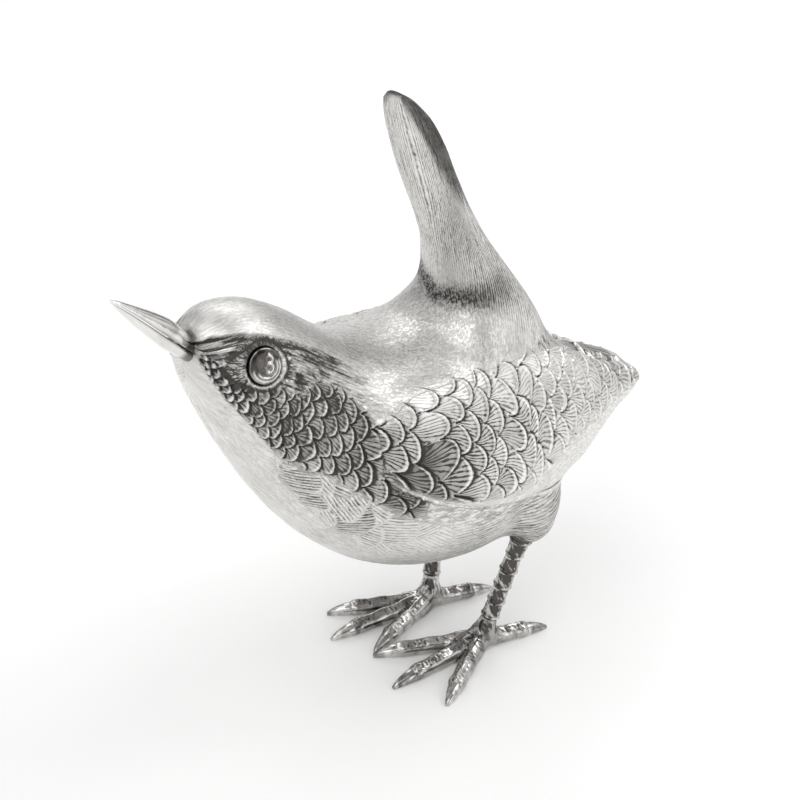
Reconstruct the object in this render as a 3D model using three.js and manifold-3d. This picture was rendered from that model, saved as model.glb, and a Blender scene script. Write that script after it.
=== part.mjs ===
// A life-size wren cast in silver, standing on its own two feet with its tail cocked.
// Millimetres, +Z up. The bill points along -Y and the bird's left side is +X.
// The outlines are drawn in a frame with its origin on the floor between the feet.

import * as THREE from 'three';
import { LoftGeometry } from 'three/addons/geometries/LoftGeometry.js';
import { mergeVertices } from 'three/addons/utils/BufferGeometryUtils.js';
import Module from 'manifold-3d';

// Gap between neighbouring pieces, and the depth of the flats under the toes
const GAP = 0.3;
const PAD_SINK = 0.12;

// Body stations from the bill to the tip of the tail.
// upper and lower are [y, z] on the midline, half is the half width,
// and square is the exponent of the section: 2 is an ellipse, more is squarer.
const BODY_STATIONS = [
  { upper: [-35.7, 54.9], lower: [-37.0, 51.3], half: 2.3, square: 2.0 },
  { upper: [-34.0, 55.6], lower: [-36.7, 48.7], half: 4.3, square: 2.0 },
  { upper: [-31.2, 55.8], lower: [-35.7, 45.9], half: 5.8, square: 2.1 },
  { upper: [-27.8, 55.0], lower: [-34.0, 41.9], half: 6.8, square: 2.1 },
  { upper: [-24.0, 52.8], lower: [-31.4, 36.7], half: 7.5, square: 2.1 },
  { upper: [-20.4, 50.0], lower: [-28.0, 30.7], half: 8.7, square: 2.1 },
  { upper: [-16.8, 47.5], lower: [-23.6, 24.7], half: 10.8, square: 2.1 },
  { upper: [-12.8, 45.7], lower: [-18.0, 19.6], half: 12.9, square: 2.1 },
  { upper: [-9.0, 45.0], lower: [-11.2, 16.4], half: 14.3, square: 2.1 },
  { upper: [-5.8, 45.1], lower: [-3.8, 15.1], half: 14.6, square: 2.1 },
  { upper: [-4.1, 46.0], lower: [3.8, 15.8], half: 13.7, square: 2.1 },
  { upper: [-3.0, 47.4], lower: [9.4, 19.0], half: 12.0, square: 2.1 },
  { upper: [-2.4, 49.0], lower: [12.6, 25.0], half: 9.9, square: 2.1 },
  { upper: [-2.4, 51.0], lower: [13.2, 31.8], half: 8.3, square: 2.1 },
  { upper: [-2.6, 53.2], lower: [11.8, 38.4], half: 7.3, square: 2.2 },
  { upper: [-3.0, 55.4], lower: [8.6, 44.8], half: 6.4, square: 2.3 },
  { upper: [-3.5, 57.6], lower: [4.4, 51.0], half: 5.9, square: 2.5 },
  { upper: [-4.1, 60.0], lower: [1.0, 56.0], half: 5.7, square: 2.8 },
  { upper: [-4.9, 62.8], lower: [-1.6, 60.4], half: 5.6, square: 3.0 },
  { upper: [-5.8, 66.0], lower: [-3.5, 64.6], half: 5.5, square: 3.0 },
  { upper: [-6.7, 69.2], lower: [-4.9, 68.4], half: 5.2, square: 3.0 },
  { upper: [-7.6, 72.0], lower: [-6.1, 71.6], half: 4.2, square: 2.6 },
  { upper: [-8.2, 73.8], lower: [-7.2, 73.6], half: 2.2, square: 2.0 },
];
const BODY_SIDES = 28;
const RINGS_PER_STATION = 2;

// Where the body is parted, as places along its stations
const NECK_FRONT = 4.2;
const NECK_BACK = 6.4;
const TAIL_ROOT = 15.2;
const SLIT = 0.08;

// Bill: the culmen, the line between the mandibles and the lower edge, as [y, z]
const CULMEN = [[-36.1, 55.05], [-39.2, 57.5], [-42.3, 59.6], [-45.1, 61.4]];
const GAPE = [[-36.9, 52.95], [-39.9, 55.95], [-42.7, 58.8], [-45.25, 61.15]];
const GONYS = [[-37.5, 51.4], [-40.5, 54.8], [-43.1, 57.95], [-45.2, 60.8]];
const BILL_HALF = [2.1, 1.55, 0.95, 0.35];
const BILL_SIDES = 12;
const BILL_RINGS = 9;
const BILL_SEAM = 0.13;

// Eyes: a dome in each side of the head
const EYE_PLACE = [5.4, -30.2, 50.9];
const EYE_RADIUS = 2.1;
const EYE_DEPTH = 1.25;
const EYE_SIDES = 12;
const EYE_ROWS = 8;

// Folded wing, left side. Each row gives the top edge, the bottom edge, the swell
// outward of the line between them, and the swell inward.
const WING_STATIONS = [
  { top: [8.8, -20.8, 41.4], bottom: [9.8, -20.6, 38.4], out: 0.7, inner: 0.4 },
  { top: [8.2, -17.6, 43.4], bottom: [12.8, -17.4, 34.0], out: 2.0, inner: 0.4 },
  { top: [7.6, -11.6, 43.2], bottom: [14.9, -12.4, 30.6], out: 2.7, inner: 0.4 },
  { top: [6.8, -5.0, 42.9], bottom: [15.4, -6.0, 28.2], out: 3.1, inner: 0.4 },
  { top: [6.0, 2.4, 42.6], bottom: [14.0, 1.0, 26.2], out: 3.5, inner: 0.4 },
  { top: [5.3, 9.0, 40.8], bottom: [11.2, 7.6, 25.1], out: 3.4, inner: 0.6 },
  { top: [4.6, 15.2, 36.2], bottom: [7.9, 14.0, 24.7], out: 2.5, inner: 0.8 },
  { top: [3.2, 21.4, 31.6], bottom: [4.8, 20.8, 25.7], out: 1.7, inner: 0.8 },
  { top: [1.8, 27.3, 28.6], bottom: [2.4, 27.2, 26.0], out: 0.8, inner: 0.6 },
];
const WING_SIDES = 16;

// Feathered thigh and bare shank, left side, as places and radii
const THIGH_PATH = [
  { at: [7.6, 2.2, 25.0], radius: 6.0 },
  { at: [8.1, 4.0, 21.2], radius: 5.0 },
  { at: [8.2, 5.0, 18.4], radius: 3.3 },
  { at: [8.0, 4.8, 16.0], radius: 1.7 },
];
const THIGH_SIDES = 18;
const SHANK_TOP = [8.0, 4.9, 16.0];
const SHANK_FOOT = [5.3, 1.0, 2.3];
const SHANK_RADIUS = 0.95;
const SHANK_SCUTES = 7;
const SHANK_SIDES = 10;
const HEEL_SWELL = 0.55;
const SCUTE_STEP = 0.14;

// Feet: the middle of each foot, and each toe's length with its claw and its
// direction in degrees from straight ahead, toward the bird's left
const FOOT_SPREAD = 5.2;
const FOOT_FORWARD = 0.7;
const TOES = {
  left: [
    { name: 'inner', length: 13.4, heading: -28 },
    { name: 'middle', length: 13.8, heading: 1 },
    { name: 'outer', length: 12.8, heading: 32 },
    { name: 'hind', length: 8.9, heading: 167 },
  ],
  right: [
    { name: 'inner', length: 11.8, heading: 18 },
    { name: 'middle', length: 13.9, heading: -7 },
    { name: 'outer', length: 12.7, heading: -30 },
    { name: 'hind', length: 8.9, heading: 167 },
  ],
};
const CLAW_LENGTH = 2.8;
const PALM_REACH = 4.4;
const PALM_SIDES = 20;
const ANKLE_RADIUS = 1.6;
const ANKLE_LIFT = 0.2;
const ANKLE_SIDES = 12;
const ANKLE_ROWS = 8;
const TOE_SIDES = 10;

// Toe shape along its length: share of the length, half width and height
const TOE_PROFILE = [
  { along: 0.0, half: 1.2, height: 2.6 },
  { along: 0.25, half: 1.08, height: 2.3 },
  { along: 0.45, half: 0.96, height: 1.95 },
  { along: 0.62, half: 1.08, height: 2.05 },
  { along: 0.8, half: 0.88, height: 1.7 },
  { along: 0.92, half: 0.96, height: 1.7 },
  { along: 1.0, half: 0.7, height: 1.35 },
];
const CLAW_PROFILE = [
  { along: 0.0, half: 0.64, height: 1.35 },
  { along: 0.45, half: 0.54, height: 1.15 },
  { along: 0.8, half: 0.38, height: 0.85 },
  { along: 1.0, half: 0.26, height: 0.55 },
];

// Silver: satin over the feathers, brighter on the bill, eyes and legs
const SATIN_SILVER = { color: 0xc9c6c0, roughness: 0.38, metalness: 1.0 };
const POLISHED_SILVER = { color: 0xd6d3cd, roughness: 0.2, metalness: 1.0 };

const wasm = await Module();
wasm.setup();

// Turns a closed geometry into a solid
function solidOf(geometry) {
  const bare = new THREE.BufferGeometry().copy(geometry);
  bare.deleteAttribute('normal');
  bare.deleteAttribute('uv');
  const merged = mergeVertices(bare, 1e-4);
  return new wasm.Manifold(new wasm.Mesh({
    numProp: 3,
    vertProperties: new Float32Array(merged.attributes.position.array),
    triVerts: new Uint32Array(merged.index.array),
  }));
}

// Turns a solid back into a geometry
function geometryOf(solid) {
  const mesh = solid.getMesh();
  const geometry = new THREE.BufferGeometry();
  geometry.setAttribute('position', new THREE.BufferAttribute(mesh.vertProperties, 3));
  geometry.setIndex(new THREE.BufferAttribute(mesh.triVerts, 1));
  geometry.computeVertexNormals();
  return geometry;
}

function loft(sections) {
  return solidOf(new LoftGeometry(sections, { capStart: true, capEnd: true }));
}

// A smooth line through values that stand one step apart
function smoothValue(values, place) {
  const last = values.length - 1;
  const start = Math.min(Math.floor(place), last - 1);
  const t = place - start;
  const here = values[start];
  const next = values[start + 1];
  const before = start > 0 ? values[start - 1] : 2 * here - next;
  const after = start + 2 <= last ? values[start + 2] : 2 * next - here;
  const slopeHere = (next - before) / 2;
  const slopeNext = (after - here) / 2;
  const square = t * t;
  const cube = square * t;
  return (2 * cube - 3 * square + 1) * here + (cube - 2 * square + t) * slopeHere
    + (3 * square - 2 * cube) * next + (cube - square) * slopeNext;
}

function smoothPoint(points, place) {
  const sizes = points[0].map((_, axis) => smoothValue(points.map((point) => point[axis]), place));
  return sizes;
}

// Cosine or sine drawn out toward a square, for a superellipse section
function squared(value, exponent) {
  return Math.sign(value) * Math.abs(value) ** (2 / exponent);
}

// One section of the body: a flat ring across the midline
function bodyRing(place) {
  const upper = smoothPoint(BODY_STATIONS.map((station) => station.upper), place);
  const lower = smoothPoint(BODY_STATIONS.map((station) => station.lower), place);
  const half = smoothValue(BODY_STATIONS.map((station) => station.half), place);
  const square = smoothValue(BODY_STATIONS.map((station) => station.square), place);
  const ring = [];
  for (let side = 0; side < BODY_SIDES; side++) {
    const angle = (side / BODY_SIDES) * 2 * Math.PI;
    const across = -half * squared(Math.cos(angle), square);
    const share = (1 + squared(Math.sin(angle), square)) / 2;
    ring.push(new THREE.Vector3(
      across,
      lower[0] + (upper[0] - lower[0]) * share,
      lower[1] + (upper[1] - lower[1]) * share,
    ));
  }
  return ring;
}

function bodyLength(from, to) {
  const rings = Math.max(2, Math.round((to - from) * RINGS_PER_STATION));
  const sections = [];
  for (let ring = 0; ring <= rings; ring++) {
    sections.push(bodyRing(from + ((to - from) * ring) / rings));
  }
  return loft(sections);
}

// Half of the bill, between an upper and a lower line
function mandible(upperLine, lowerLine, isUpper) {
  const sections = [];
  for (let ring = 0; ring <= BILL_RINGS; ring++) {
    const place = (ring / BILL_RINGS) * (CULMEN.length - 1);
    const upper = smoothPoint(upperLine, place);
    const lower = smoothPoint(lowerLine, place);
    const half = smoothValue(BILL_HALF, place);
    const section = [];
    for (let side = 0; side <= BILL_SIDES; side++) {
      const angle = (side / BILL_SIDES) * Math.PI;
      const rise = isUpper ? Math.sin(angle) : 1 - Math.sin(angle);
      const across = half * Math.cos(angle);
      section.push(new THREE.Vector3(
        across,
        lower[0] + (upper[0] - lower[0]) * rise,
        lower[1] + (upper[1] - lower[1]) * rise,
      ));
    }
    if (!isUpper) section.reverse();
    sections.push(section);
  }
  return loft(sections);
}

function shifted(line, rise) {
  return line.map(([y, z]) => [y, z + rise]);
}

// One wing, on the left for side 1 and on the right for side -1.
// grow swells it on every side, for the pocket that it lies in.
function wingSolid(side, grow) {
  const last = WING_STATIONS.length - 1;
  const rings = last * 2;
  const tops = WING_STATIONS.map((station) => station.top);
  const bottoms = WING_STATIONS.map((station) => station.bottom);
  const outs = WING_STATIONS.map((station) => station.out);
  const inners = WING_STATIONS.map((station) => station.inner);
  const sections = [];
  for (let ring = 0; ring <= rings; ring++) {
    const place = (ring / rings) * last;
    const top = new THREE.Vector3(...smoothPoint(tops, place));
    const bottom = new THREE.Vector3(...smoothPoint(bottoms, place));
    const chord = top.clone().sub(bottom);
    const outward = new THREE.Vector3(chord.z, 0, -chord.x).normalize();
    const middle = top.clone().add(bottom).multiplyScalar(0.5);
    const up = chord.clone().normalize();
    const reach = chord.length() / 2 + grow;
    const endShift = ring === 0 ? -grow : ring === rings ? grow : 0;
    const section = [];
    for (let step = 0; step < WING_SIDES; step++) {
      const angle = (step / WING_SIDES) * 2 * Math.PI;
      const depth = Math.sin(angle) > 0 ? smoothValue(outs, place) : smoothValue(inners, place);
      const point = middle.clone()
        .addScaledVector(up, reach * Math.cos(angle))
        .addScaledVector(outward, (depth + grow) * Math.sin(angle));
      section.push(new THREE.Vector3(point.x * side, point.y + endShift, point.z));
    }
    if (side < 0) section.reverse();
    sections.push(section);
  }
  return loft(sections);
}

// Round sections about a path, square to it
function limb(path, sides, side, grow) {
  const sections = path.map((stop, index) => {
    const here = new THREE.Vector3(...stop.at);
    const before = new THREE.Vector3(...path[Math.max(0, index - 1)].at);
    const after = new THREE.Vector3(...path[Math.min(path.length - 1, index + 1)].at);
    const ahead = after.sub(before).normalize();
    const endShift = index === 0 ? -grow : index === path.length - 1 ? grow : 0;
    here.addScaledVector(ahead, endShift);
    const across = new THREE.Vector3(1, 0, 0).addScaledVector(ahead, -ahead.x).normalize();
    const over = new THREE.Vector3().crossVectors(ahead, across);
    const section = [];
    for (let step = 0; step < sides; step++) {
      const angle = (step / sides) * 2 * Math.PI;
      const point = here.clone()
        .addScaledVector(across, (stop.radius + grow) * Math.cos(angle))
        .addScaledVector(over, (stop.radius + grow) * Math.sin(angle));
      section.push(new THREE.Vector3(point.x * side, point.y, point.z));
    }
    if (side < 0) section.reverse();
    return section;
  });
  return loft(sections);
}

// The shank is ringed by scutes, each a little wider at its lower edge
function shankPath() {
  const top = new THREE.Vector3(...SHANK_TOP);
  const foot = new THREE.Vector3(...SHANK_FOOT);
  const path = [];
  for (let scute = 0; scute < SHANK_SCUTES; scute++) {
    const swell = HEEL_SWELL * (1 - scute / 2) * (scute < 2 ? 1 : 0);
    const shares = [scute / SHANK_SCUTES, (scute + 0.8) / SHANK_SCUTES];
    shares.forEach((share, end) => {
      const place = top.clone().lerp(foot, share);
      path.push({ at: place.toArray(), radius: SHANK_RADIUS + swell + end * SCUTE_STEP });
    });
  }
  path.push({ at: foot.toArray(), radius: SHANK_RADIUS + SCUTE_STEP });
  return path;
}

// A toe or claw lying on the floor: flat below, arched above
function floorLoft(profile, start, reach, heading) {
  const turn = THREE.MathUtils.degToRad(heading);
  const ahead = new THREE.Vector3(Math.sin(turn), -Math.cos(turn), 0);
  const across = new THREE.Vector3(Math.cos(turn), Math.sin(turn), 0);
  const sections = profile.map((stop) => {
    const middle = start.clone().addScaledVector(ahead, reach * stop.along);
    const section = [];
    for (let step = 0; step < TOE_SIDES; step++) {
      const angle = (step / TOE_SIDES) * 2 * Math.PI;
      const rise = (stop.height / 2) * (1 + Math.sin(angle)) - PAD_SINK;
      const point = middle.clone().addScaledVector(across, stop.half * Math.cos(angle));
      point.z = Math.max(0, rise);
      section.push(point);
    }
    return section;
  });
  return loft(sections);
}

// An upright round post about a foot, taller than the foot
function palmPost(radius, middle) {
  const geometry = new THREE.CylinderGeometry(radius, radius, 4 * PALM_REACH, PALM_SIDES);
  geometry.rotateX(Math.PI / 2);
  geometry.translate(middle.x, middle.y, middle.z);
  return solidOf(geometry);
}

function ankleBall(middle, grow) {
  const radius = ANKLE_RADIUS + grow;
  const geometry = new THREE.SphereGeometry(radius, ANKLE_SIDES, ANKLE_ROWS);
  geometry.translate(middle.x, middle.y, ANKLE_RADIUS + ANKLE_LIFT);
  return solidOf(geometry);
}

// A flattened ball in the side of the head
function eyeBall(side, grow) {
  const radius = EYE_RADIUS + grow;
  const geometry = new THREE.SphereGeometry(radius, EYE_SIDES, EYE_ROWS);
  geometry.scale((EYE_DEPTH + grow) / radius, 1, 1);
  geometry.translate(EYE_PLACE[0] * side, EYE_PLACE[1], EYE_PLACE[2]);
  return solidOf(geometry);
}

const model = new THREE.Group();
const sides = [['left', 1], ['right', -1]];

// Adds one sub-part to the bird
function addPiece(name, solid, finish) {
  const mesh = new THREE.Mesh(geometryOf(solid), new THREE.MeshStandardMaterial(finish));
  mesh.name = name;
  model.add(mesh);
}

// A foot with its toes parted from it all round, and a claw before each toe
function addFoot(sideName, middle) {
  const within = palmPost(PALM_REACH, middle);
  const beyond = palmPost(PALM_REACH + GAP, middle);
  let foot = ankleBall(middle, 0);
  for (const toe of TOES[sideName]) {
    const turn = THREE.MathUtils.degToRad(toe.heading);
    const ahead = new THREE.Vector3(Math.sin(turn), -Math.cos(turn), 0);
    const boneLength = toe.length - CLAW_LENGTH;
    const bone = floorLoft(TOE_PROFILE, middle, boneLength, toe.heading);
    const clawStart = middle.clone().addScaledVector(ahead, boneLength + GAP);
    const claw = floorLoft(CLAW_PROFILE, clawStart, CLAW_LENGTH - GAP, toe.heading);
    foot = foot.add(bone.intersect(within));
    addPiece(`toe_${sideName}_${toe.name}`, bone.subtract(beyond), POLISHED_SILVER);
    addPiece(`claw_${sideName}_${toe.name}`, claw, POLISHED_SILVER);
  }
  addPiece(`foot_${sideName}`, foot, POLISHED_SILVER);
}

// The body in four lengths, with hollows for the eyes, the wings and the thighs
let head = bodyLength(0, NECK_FRONT);
let neck = bodyLength(NECK_FRONT + SLIT, NECK_BACK);
let trunk = bodyLength(NECK_BACK + SLIT, TAIL_ROOT);
for (const [, side] of sides) {
  const wingPocket = wingSolid(side, GAP);
  const thighPocket = limb(THIGH_PATH, THIGH_SIDES, side, GAP);
  head = head.subtract(eyeBall(side, GAP));
  neck = neck.subtract(wingPocket);
  trunk = trunk.subtract(wingPocket).subtract(thighPocket);
}
addPiece('head', head, SATIN_SILVER);
addPiece('neck', neck, SATIN_SILVER);
addPiece('trunk', trunk, SATIN_SILVER);
addPiece('tail', bodyLength(TAIL_ROOT + SLIT, BODY_STATIONS.length - 1), SATIN_SILVER);
addPiece('bill_upper', mandible(CULMEN, shifted(GAPE, BILL_SEAM), true), POLISHED_SILVER);
addPiece('bill_lower', mandible(shifted(GAPE, -BILL_SEAM), GONYS, false), POLISHED_SILVER);

// Eyes, wings and legs on both sides
for (const [sideName, side] of sides) {
  const thigh = limb(THIGH_PATH, THIGH_SIDES, side, 0).subtract(wingSolid(side, GAP));
  const shank = limb(shankPath(), SHANK_SIDES, side, 0)
    .subtract(limb(THIGH_PATH, THIGH_SIDES, side, GAP));
  const middle = new THREE.Vector3(FOOT_SPREAD * side, FOOT_FORWARD, 0);
  addPiece(`eye_${sideName}`, eyeBall(side, 0), POLISHED_SILVER);
  addPiece(`wing_${sideName}`, wingSolid(side, 0), SATIN_SILVER);
  addPiece(`thigh_${sideName}`, thigh, SATIN_SILVER);
  addPiece(`shank_${sideName}`, shank.subtract(ankleBall(middle, GAP)), POLISHED_SILVER);
  addFoot(sideName, middle);
}

// The origin is on the floor, under the middle of the bird's whole length
const extent = new THREE.Box3().setFromObject(model);
model.position.y = -(extent.min.y + extent.max.y) / 2;

export default model;
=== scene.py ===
"""Builds a cast silver wren, satin finished with its feathers cut in relief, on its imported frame."""

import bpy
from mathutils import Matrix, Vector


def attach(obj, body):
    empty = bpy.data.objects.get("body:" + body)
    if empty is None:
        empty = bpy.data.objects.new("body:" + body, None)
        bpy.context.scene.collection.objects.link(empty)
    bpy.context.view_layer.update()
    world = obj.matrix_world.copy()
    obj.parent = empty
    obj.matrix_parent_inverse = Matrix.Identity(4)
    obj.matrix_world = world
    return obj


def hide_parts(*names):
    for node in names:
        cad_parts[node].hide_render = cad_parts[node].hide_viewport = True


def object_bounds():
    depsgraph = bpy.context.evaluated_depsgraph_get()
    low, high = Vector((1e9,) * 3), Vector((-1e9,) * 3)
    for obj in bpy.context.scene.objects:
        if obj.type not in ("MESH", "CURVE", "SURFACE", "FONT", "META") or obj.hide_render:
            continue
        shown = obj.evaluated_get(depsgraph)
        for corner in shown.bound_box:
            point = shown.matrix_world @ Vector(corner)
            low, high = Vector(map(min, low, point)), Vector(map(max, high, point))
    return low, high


bl_info = {
    "name": "Silver wren figurine",
    "version": (1, 0, 0),
    "blender": (4, 5, 0),
    "location": "3D View > Sidebar > Wren",
    "description": "Builds a cast silver wren with engraved feathers on its packed frame",
    "category": "Add Mesh",
}

import math
import bpy
import numpy as np
from mathutils import Vector

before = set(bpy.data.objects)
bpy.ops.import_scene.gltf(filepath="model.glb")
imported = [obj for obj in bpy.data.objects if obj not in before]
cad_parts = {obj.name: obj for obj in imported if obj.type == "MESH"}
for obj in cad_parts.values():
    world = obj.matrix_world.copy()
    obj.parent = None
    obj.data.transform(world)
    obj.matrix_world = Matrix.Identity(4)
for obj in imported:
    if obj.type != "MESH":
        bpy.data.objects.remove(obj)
CAD_BOX = [list(corner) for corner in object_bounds()]

MM = 0.001
SIDES = {"left": 1, "right": -1}
TAU = 2 * math.pi
# The outlines below are in millimetres from a point on the floor between the feet.
# The bill tip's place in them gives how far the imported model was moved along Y.
BILL_TIP_Y = -45.245
ROW_SHIFT = np.array([0.0, CAD_BOX[0][1] / MM - BILL_TIP_Y, 0.0])

# Sections of the body from the bill to the tail: back line y z, front line y z, half width, squareness.
BODY_SECTIONS = np.array([
    [-35.7, 54.9, -37.0, 51.3, 2.3, 2.0], [-34.0, 55.6, -36.7, 48.7, 4.3, 2.0],
    [-31.2, 55.8, -35.7, 45.9, 5.8, 2.1], [-27.8, 55.0, -34.0, 41.9, 6.8, 2.1],
    [-24.0, 52.8, -31.4, 36.7, 7.5, 2.1], [-20.4, 50.0, -28.0, 30.7, 8.7, 2.1],
    [-16.8, 47.5, -23.6, 24.7, 10.8, 2.1], [-12.8, 45.7, -18.0, 19.6, 12.9, 2.1],
    [-9.0, 45.0, -11.2, 16.4, 14.3, 2.1], [-5.8, 45.1, -3.8, 15.1, 14.6, 2.1],
    [-4.1, 46.0, 3.8, 15.8, 13.7, 2.1], [-3.0, 47.4, 9.4, 19.0, 12.0, 2.1],
    [-2.4, 49.0, 12.6, 25.0, 9.9, 2.1], [-2.4, 51.0, 13.2, 31.8, 8.3, 2.1],
    [-2.6, 53.2, 11.8, 38.4, 7.3, 2.2], [-3.0, 55.4, 8.6, 44.8, 6.4, 2.3],
    [-3.5, 57.6, 4.4, 51.0, 5.9, 2.5], [-4.1, 60.0, 1.0, 56.0, 5.7, 2.8],
    [-4.9, 62.8, -1.6, 60.4, 5.6, 3.0], [-5.8, 66.0, -3.5, 64.6, 5.5, 3.0],
    [-6.7, 69.2, -4.9, 68.4, 5.2, 3.0], [-7.6, 72.0, -6.1, 71.6, 4.2, 2.6],
    [-8.2, 73.8, -7.2, 73.6, 2.2, 2.0],
])
# Sections of the left wing from the shoulder to the tip: top x y z, bottom x y z, outward and inward depth.
WING_SECTIONS = np.array([
    [8.8, -20.8, 41.4, 9.8, -20.6, 38.4, 0.7, 0.4], [8.2, -17.6, 43.4, 12.8, -17.4, 34.0, 2.0, 0.4],
    [7.6, -11.6, 43.2, 14.9, -12.4, 30.6, 2.7, 0.4], [6.8, -5.0, 42.9, 15.4, -6.0, 28.2, 3.1, 0.4],
    [6.0, 2.4, 42.6, 14.0, 1.0, 26.2, 3.5, 0.4], [5.3, 9.0, 40.8, 11.2, 7.6, 25.1, 3.4, 0.6],
    [4.6, 15.2, 36.2, 7.9, 14.0, 24.7, 2.5, 0.8], [3.2, 21.4, 31.6, 4.8, 20.8, 25.7, 1.7, 0.8],
    [1.8, 27.3, 28.6, 2.4, 27.2, 26.0, 0.8, 0.6],
])
BODY_MIDLINE = (BODY_SECTIONS[:, 0:2] + BODY_SECTIONS[:, 2:4]) / 2
WING_MIDLINE = (WING_SECTIONS[:, 0:3] + WING_SECTIONS[:, 3:6]) / 2
BODY_LAST, WING_LAST = len(BODY_SECTIONS) - 1, len(WING_SECTIONS) - 1
# The left thigh from the body to the shank: x y z, radius.
THIGH_STOPS = np.array([
    [7.6, 2.2, 25.0, 6.0], [8.1, 4.0, 21.2, 5.0], [8.2, 5.0, 18.4, 3.3], [8.0, 4.8, 16.0, 1.7],
])
# The rump between the folded wing tips: x y z, radius.
RUMP_STOPS = np.array([
    [0.0, 9.0, 31.0, 5.2], [0.0, 14.0, 30.4, 4.8], [0.0, 19.0, 29.4, 3.9], [0.0, 23.5, 28.4, 2.7],
    [0.0, 25.6, 27.7, 1.7],
])
# The bill from its root to its tip: culmen y z, gape y z, gonys y z, half width.
BILL_STOPS = np.array([
    [-36.1, 55.05, -36.9, 52.95, -37.5, 51.4, 2.1], [-39.2, 57.5, -39.9, 55.95, -40.5, 54.8, 1.55],
    [-42.3, 59.6, -42.7, 58.8, -43.1, 57.95, 0.95], [-45.1, 61.4, -45.25, 61.15, -45.2, 60.8, 0.35],
])
# How far behind its first stop the bill's root is sunk in the face, in stops.
BILL_ROOT = -0.45
BILL_SEAM = 0.1
EYE_CENTRE = np.array([6.3, -30.7, 51.2])
EYE_RADIUS = 2.06
# The eye's place along the body and its angle above the widest line.
EYE_PLACE, EYE_ANGLE = 2.73, 0.2
EAR_CENTRE = np.array([6.9, -26.5, 48.1])
SHANK_TOP = np.array([8.05, 4.95, 17.6])
SHANK_FOOT = np.array([5.3, 1.0, 2.3])
FOOT_PLACE = np.array([5.2, 0.7])
ANKLE_RADIUS = 1.6
CLAW_LENGTH = 2.8
# How far the claws run into the toes, and how far the pads are pressed flat by the floor.
CLAW_OVERLAP = 0.25
PAD_SINK = 0.12
# Length with the claw in millimetres, and heading in degrees from straight ahead, of each toe.
TOES = {
    "left": {"inner": (13.4, -28), "middle": (13.8, 1), "outer": (12.8, 32), "hind": (8.9, 167)},
    "right": {"inner": (11.8, 18), "middle": (13.9, -7), "outer": (12.7, -30), "hind": (8.9, 167)},
}
# Share of the length, half width and height of a toe, a claw and the palm.
TOE_STOPS = np.array([
    [0, 1.35, 2.7], [0.25, 1.22, 2.4], [0.45, 1.08, 2.05], [0.62, 1.08, 2.0],
    [0.8, 1.05, 1.85], [0.92, 1.12, 1.85], [1, 0.92, 1.6],
])
CLAW_STOPS = np.array([
    [0, 0.9, 1.65], [0.3, 0.82, 1.5], [0.6, 0.62, 1.2], [0.85, 0.42, 0.85], [1, 0.24, 0.5],
])
PALM_STOPS = np.array([[0, 1.4, 2.0], [0.4, 2.1, 1.7], [0.75, 1.9, 1.2], [1, 1.0, 0.7]])
PALM_LENGTH = 5.2

# Rows and sides of each piece before it is remeshed or set in place.
BODY_MESH, WING_MESH, THIGH_MESH, RUMP_MESH = (160, 112), (110, 72), (40, 48), (50, 40)
SHANK_MESH, ANKLE_MESH, PALM_MESH, TOE_MESH, CLAW_MESH = (150, 40), (24, 32), (30, 28), (60, 28), (20, 24)
EYE_MESH = (64, 128)
BILL_ROWS, BILL_ARCH, BILL_FLOOR = 90, 33, 16
CURVE_SAMPLES = 600
CHANCE_CELLS = 256
TOE_SWELLING = 0.02

# Grids that find a place on the body or wing from the side: cell and lowest y z in millimetres, and cells.
CELL = 0.15
SIDE_VIEW_LOW = np.array([-47.0, -1.0])
SIDE_VIEW_CELLS = (510, 520)
BODY_SAMPLES = (2600, 330)
WING_SAMPLES = (1500, 260)
# Cells by which each grid is spread past its edge.
BODY_GROWTH, WING_GROWTH = 70, 3
# How far from the wing's own surface the skin still counts as wing, by distance back.
WING_REACH = ([13, 17, 22], [1.2, 2.6, 6.0])

# A place on the body is counted in sections from the bill. An angle is 0 at the widest line, 1 on the back
# and -1 on the belly. Each edge below is a list of places and the angle at each of them.
CHEEK_LOW = ([0, 0.97, 2.0, 2.9, 3.7, 4.3, 4.8, 5.2, 6.0, 7.5],
             [-0.24, -0.33, -0.40, -0.38, -0.38, -0.35, -0.27, -0.18, -0.15, -0.15])
CHEEK_HIGH = ([0, 0.8, 1.6, 2.6, 3.3, 3.9, 4.5, 5.2, 6.0],
              [0.02, 0.0, -0.02, 0.0, 0.08, 0.12, 0.32, 0.36, 0.3])
BROW_EDGE = ([0, 0.63, 1.9, 3.0, 4.07, 4.87, 5.27, 5.9, 6.6],
             [0.36, 0.49, 0.51, 0.51, 0.56, 0.62, 0.62, 0.6, 0.55])
# Where the dark end of the tail begins, as a list of angles and the place at each of them.
TAIL_END_EDGE = ([-0.4, 0.2, 0.6, 0.85, 1.0], [17.6, 17.8, 18.7, 20.3, 21.1])
# How deep the fine strokes are over all, and how much deeper in each zone. A zone has spans of place and
# of angle, each from where it starts to where it is full.
STROKE_BASE = 0.36
STROKE_ZONES = {
    "back": (0.08, [(5.0, 7.5)], [(0.1, 0.5)]),
    "throat": (-0.12, [(9.5, 6.5)], [(-0.25, -0.5)]),
    "flank": (0.22, [(5.5, 7.0)], [(0.1, -0.15), (-0.85, -0.45)]),
    "belly": (0.48, [(6.5, 9.0)], [(0.0, -0.4)]),
    "crown": (-0.04, [(5.5, 4.5)], [(0.55, 0.7)]),
    "tail": (0.52, [(12.0, 15.0)], []),
    "underside": (0.14, [(5.5, 7.0), (13.0, 11.0)], [(-0.2, -0.5)]),
}
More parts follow.
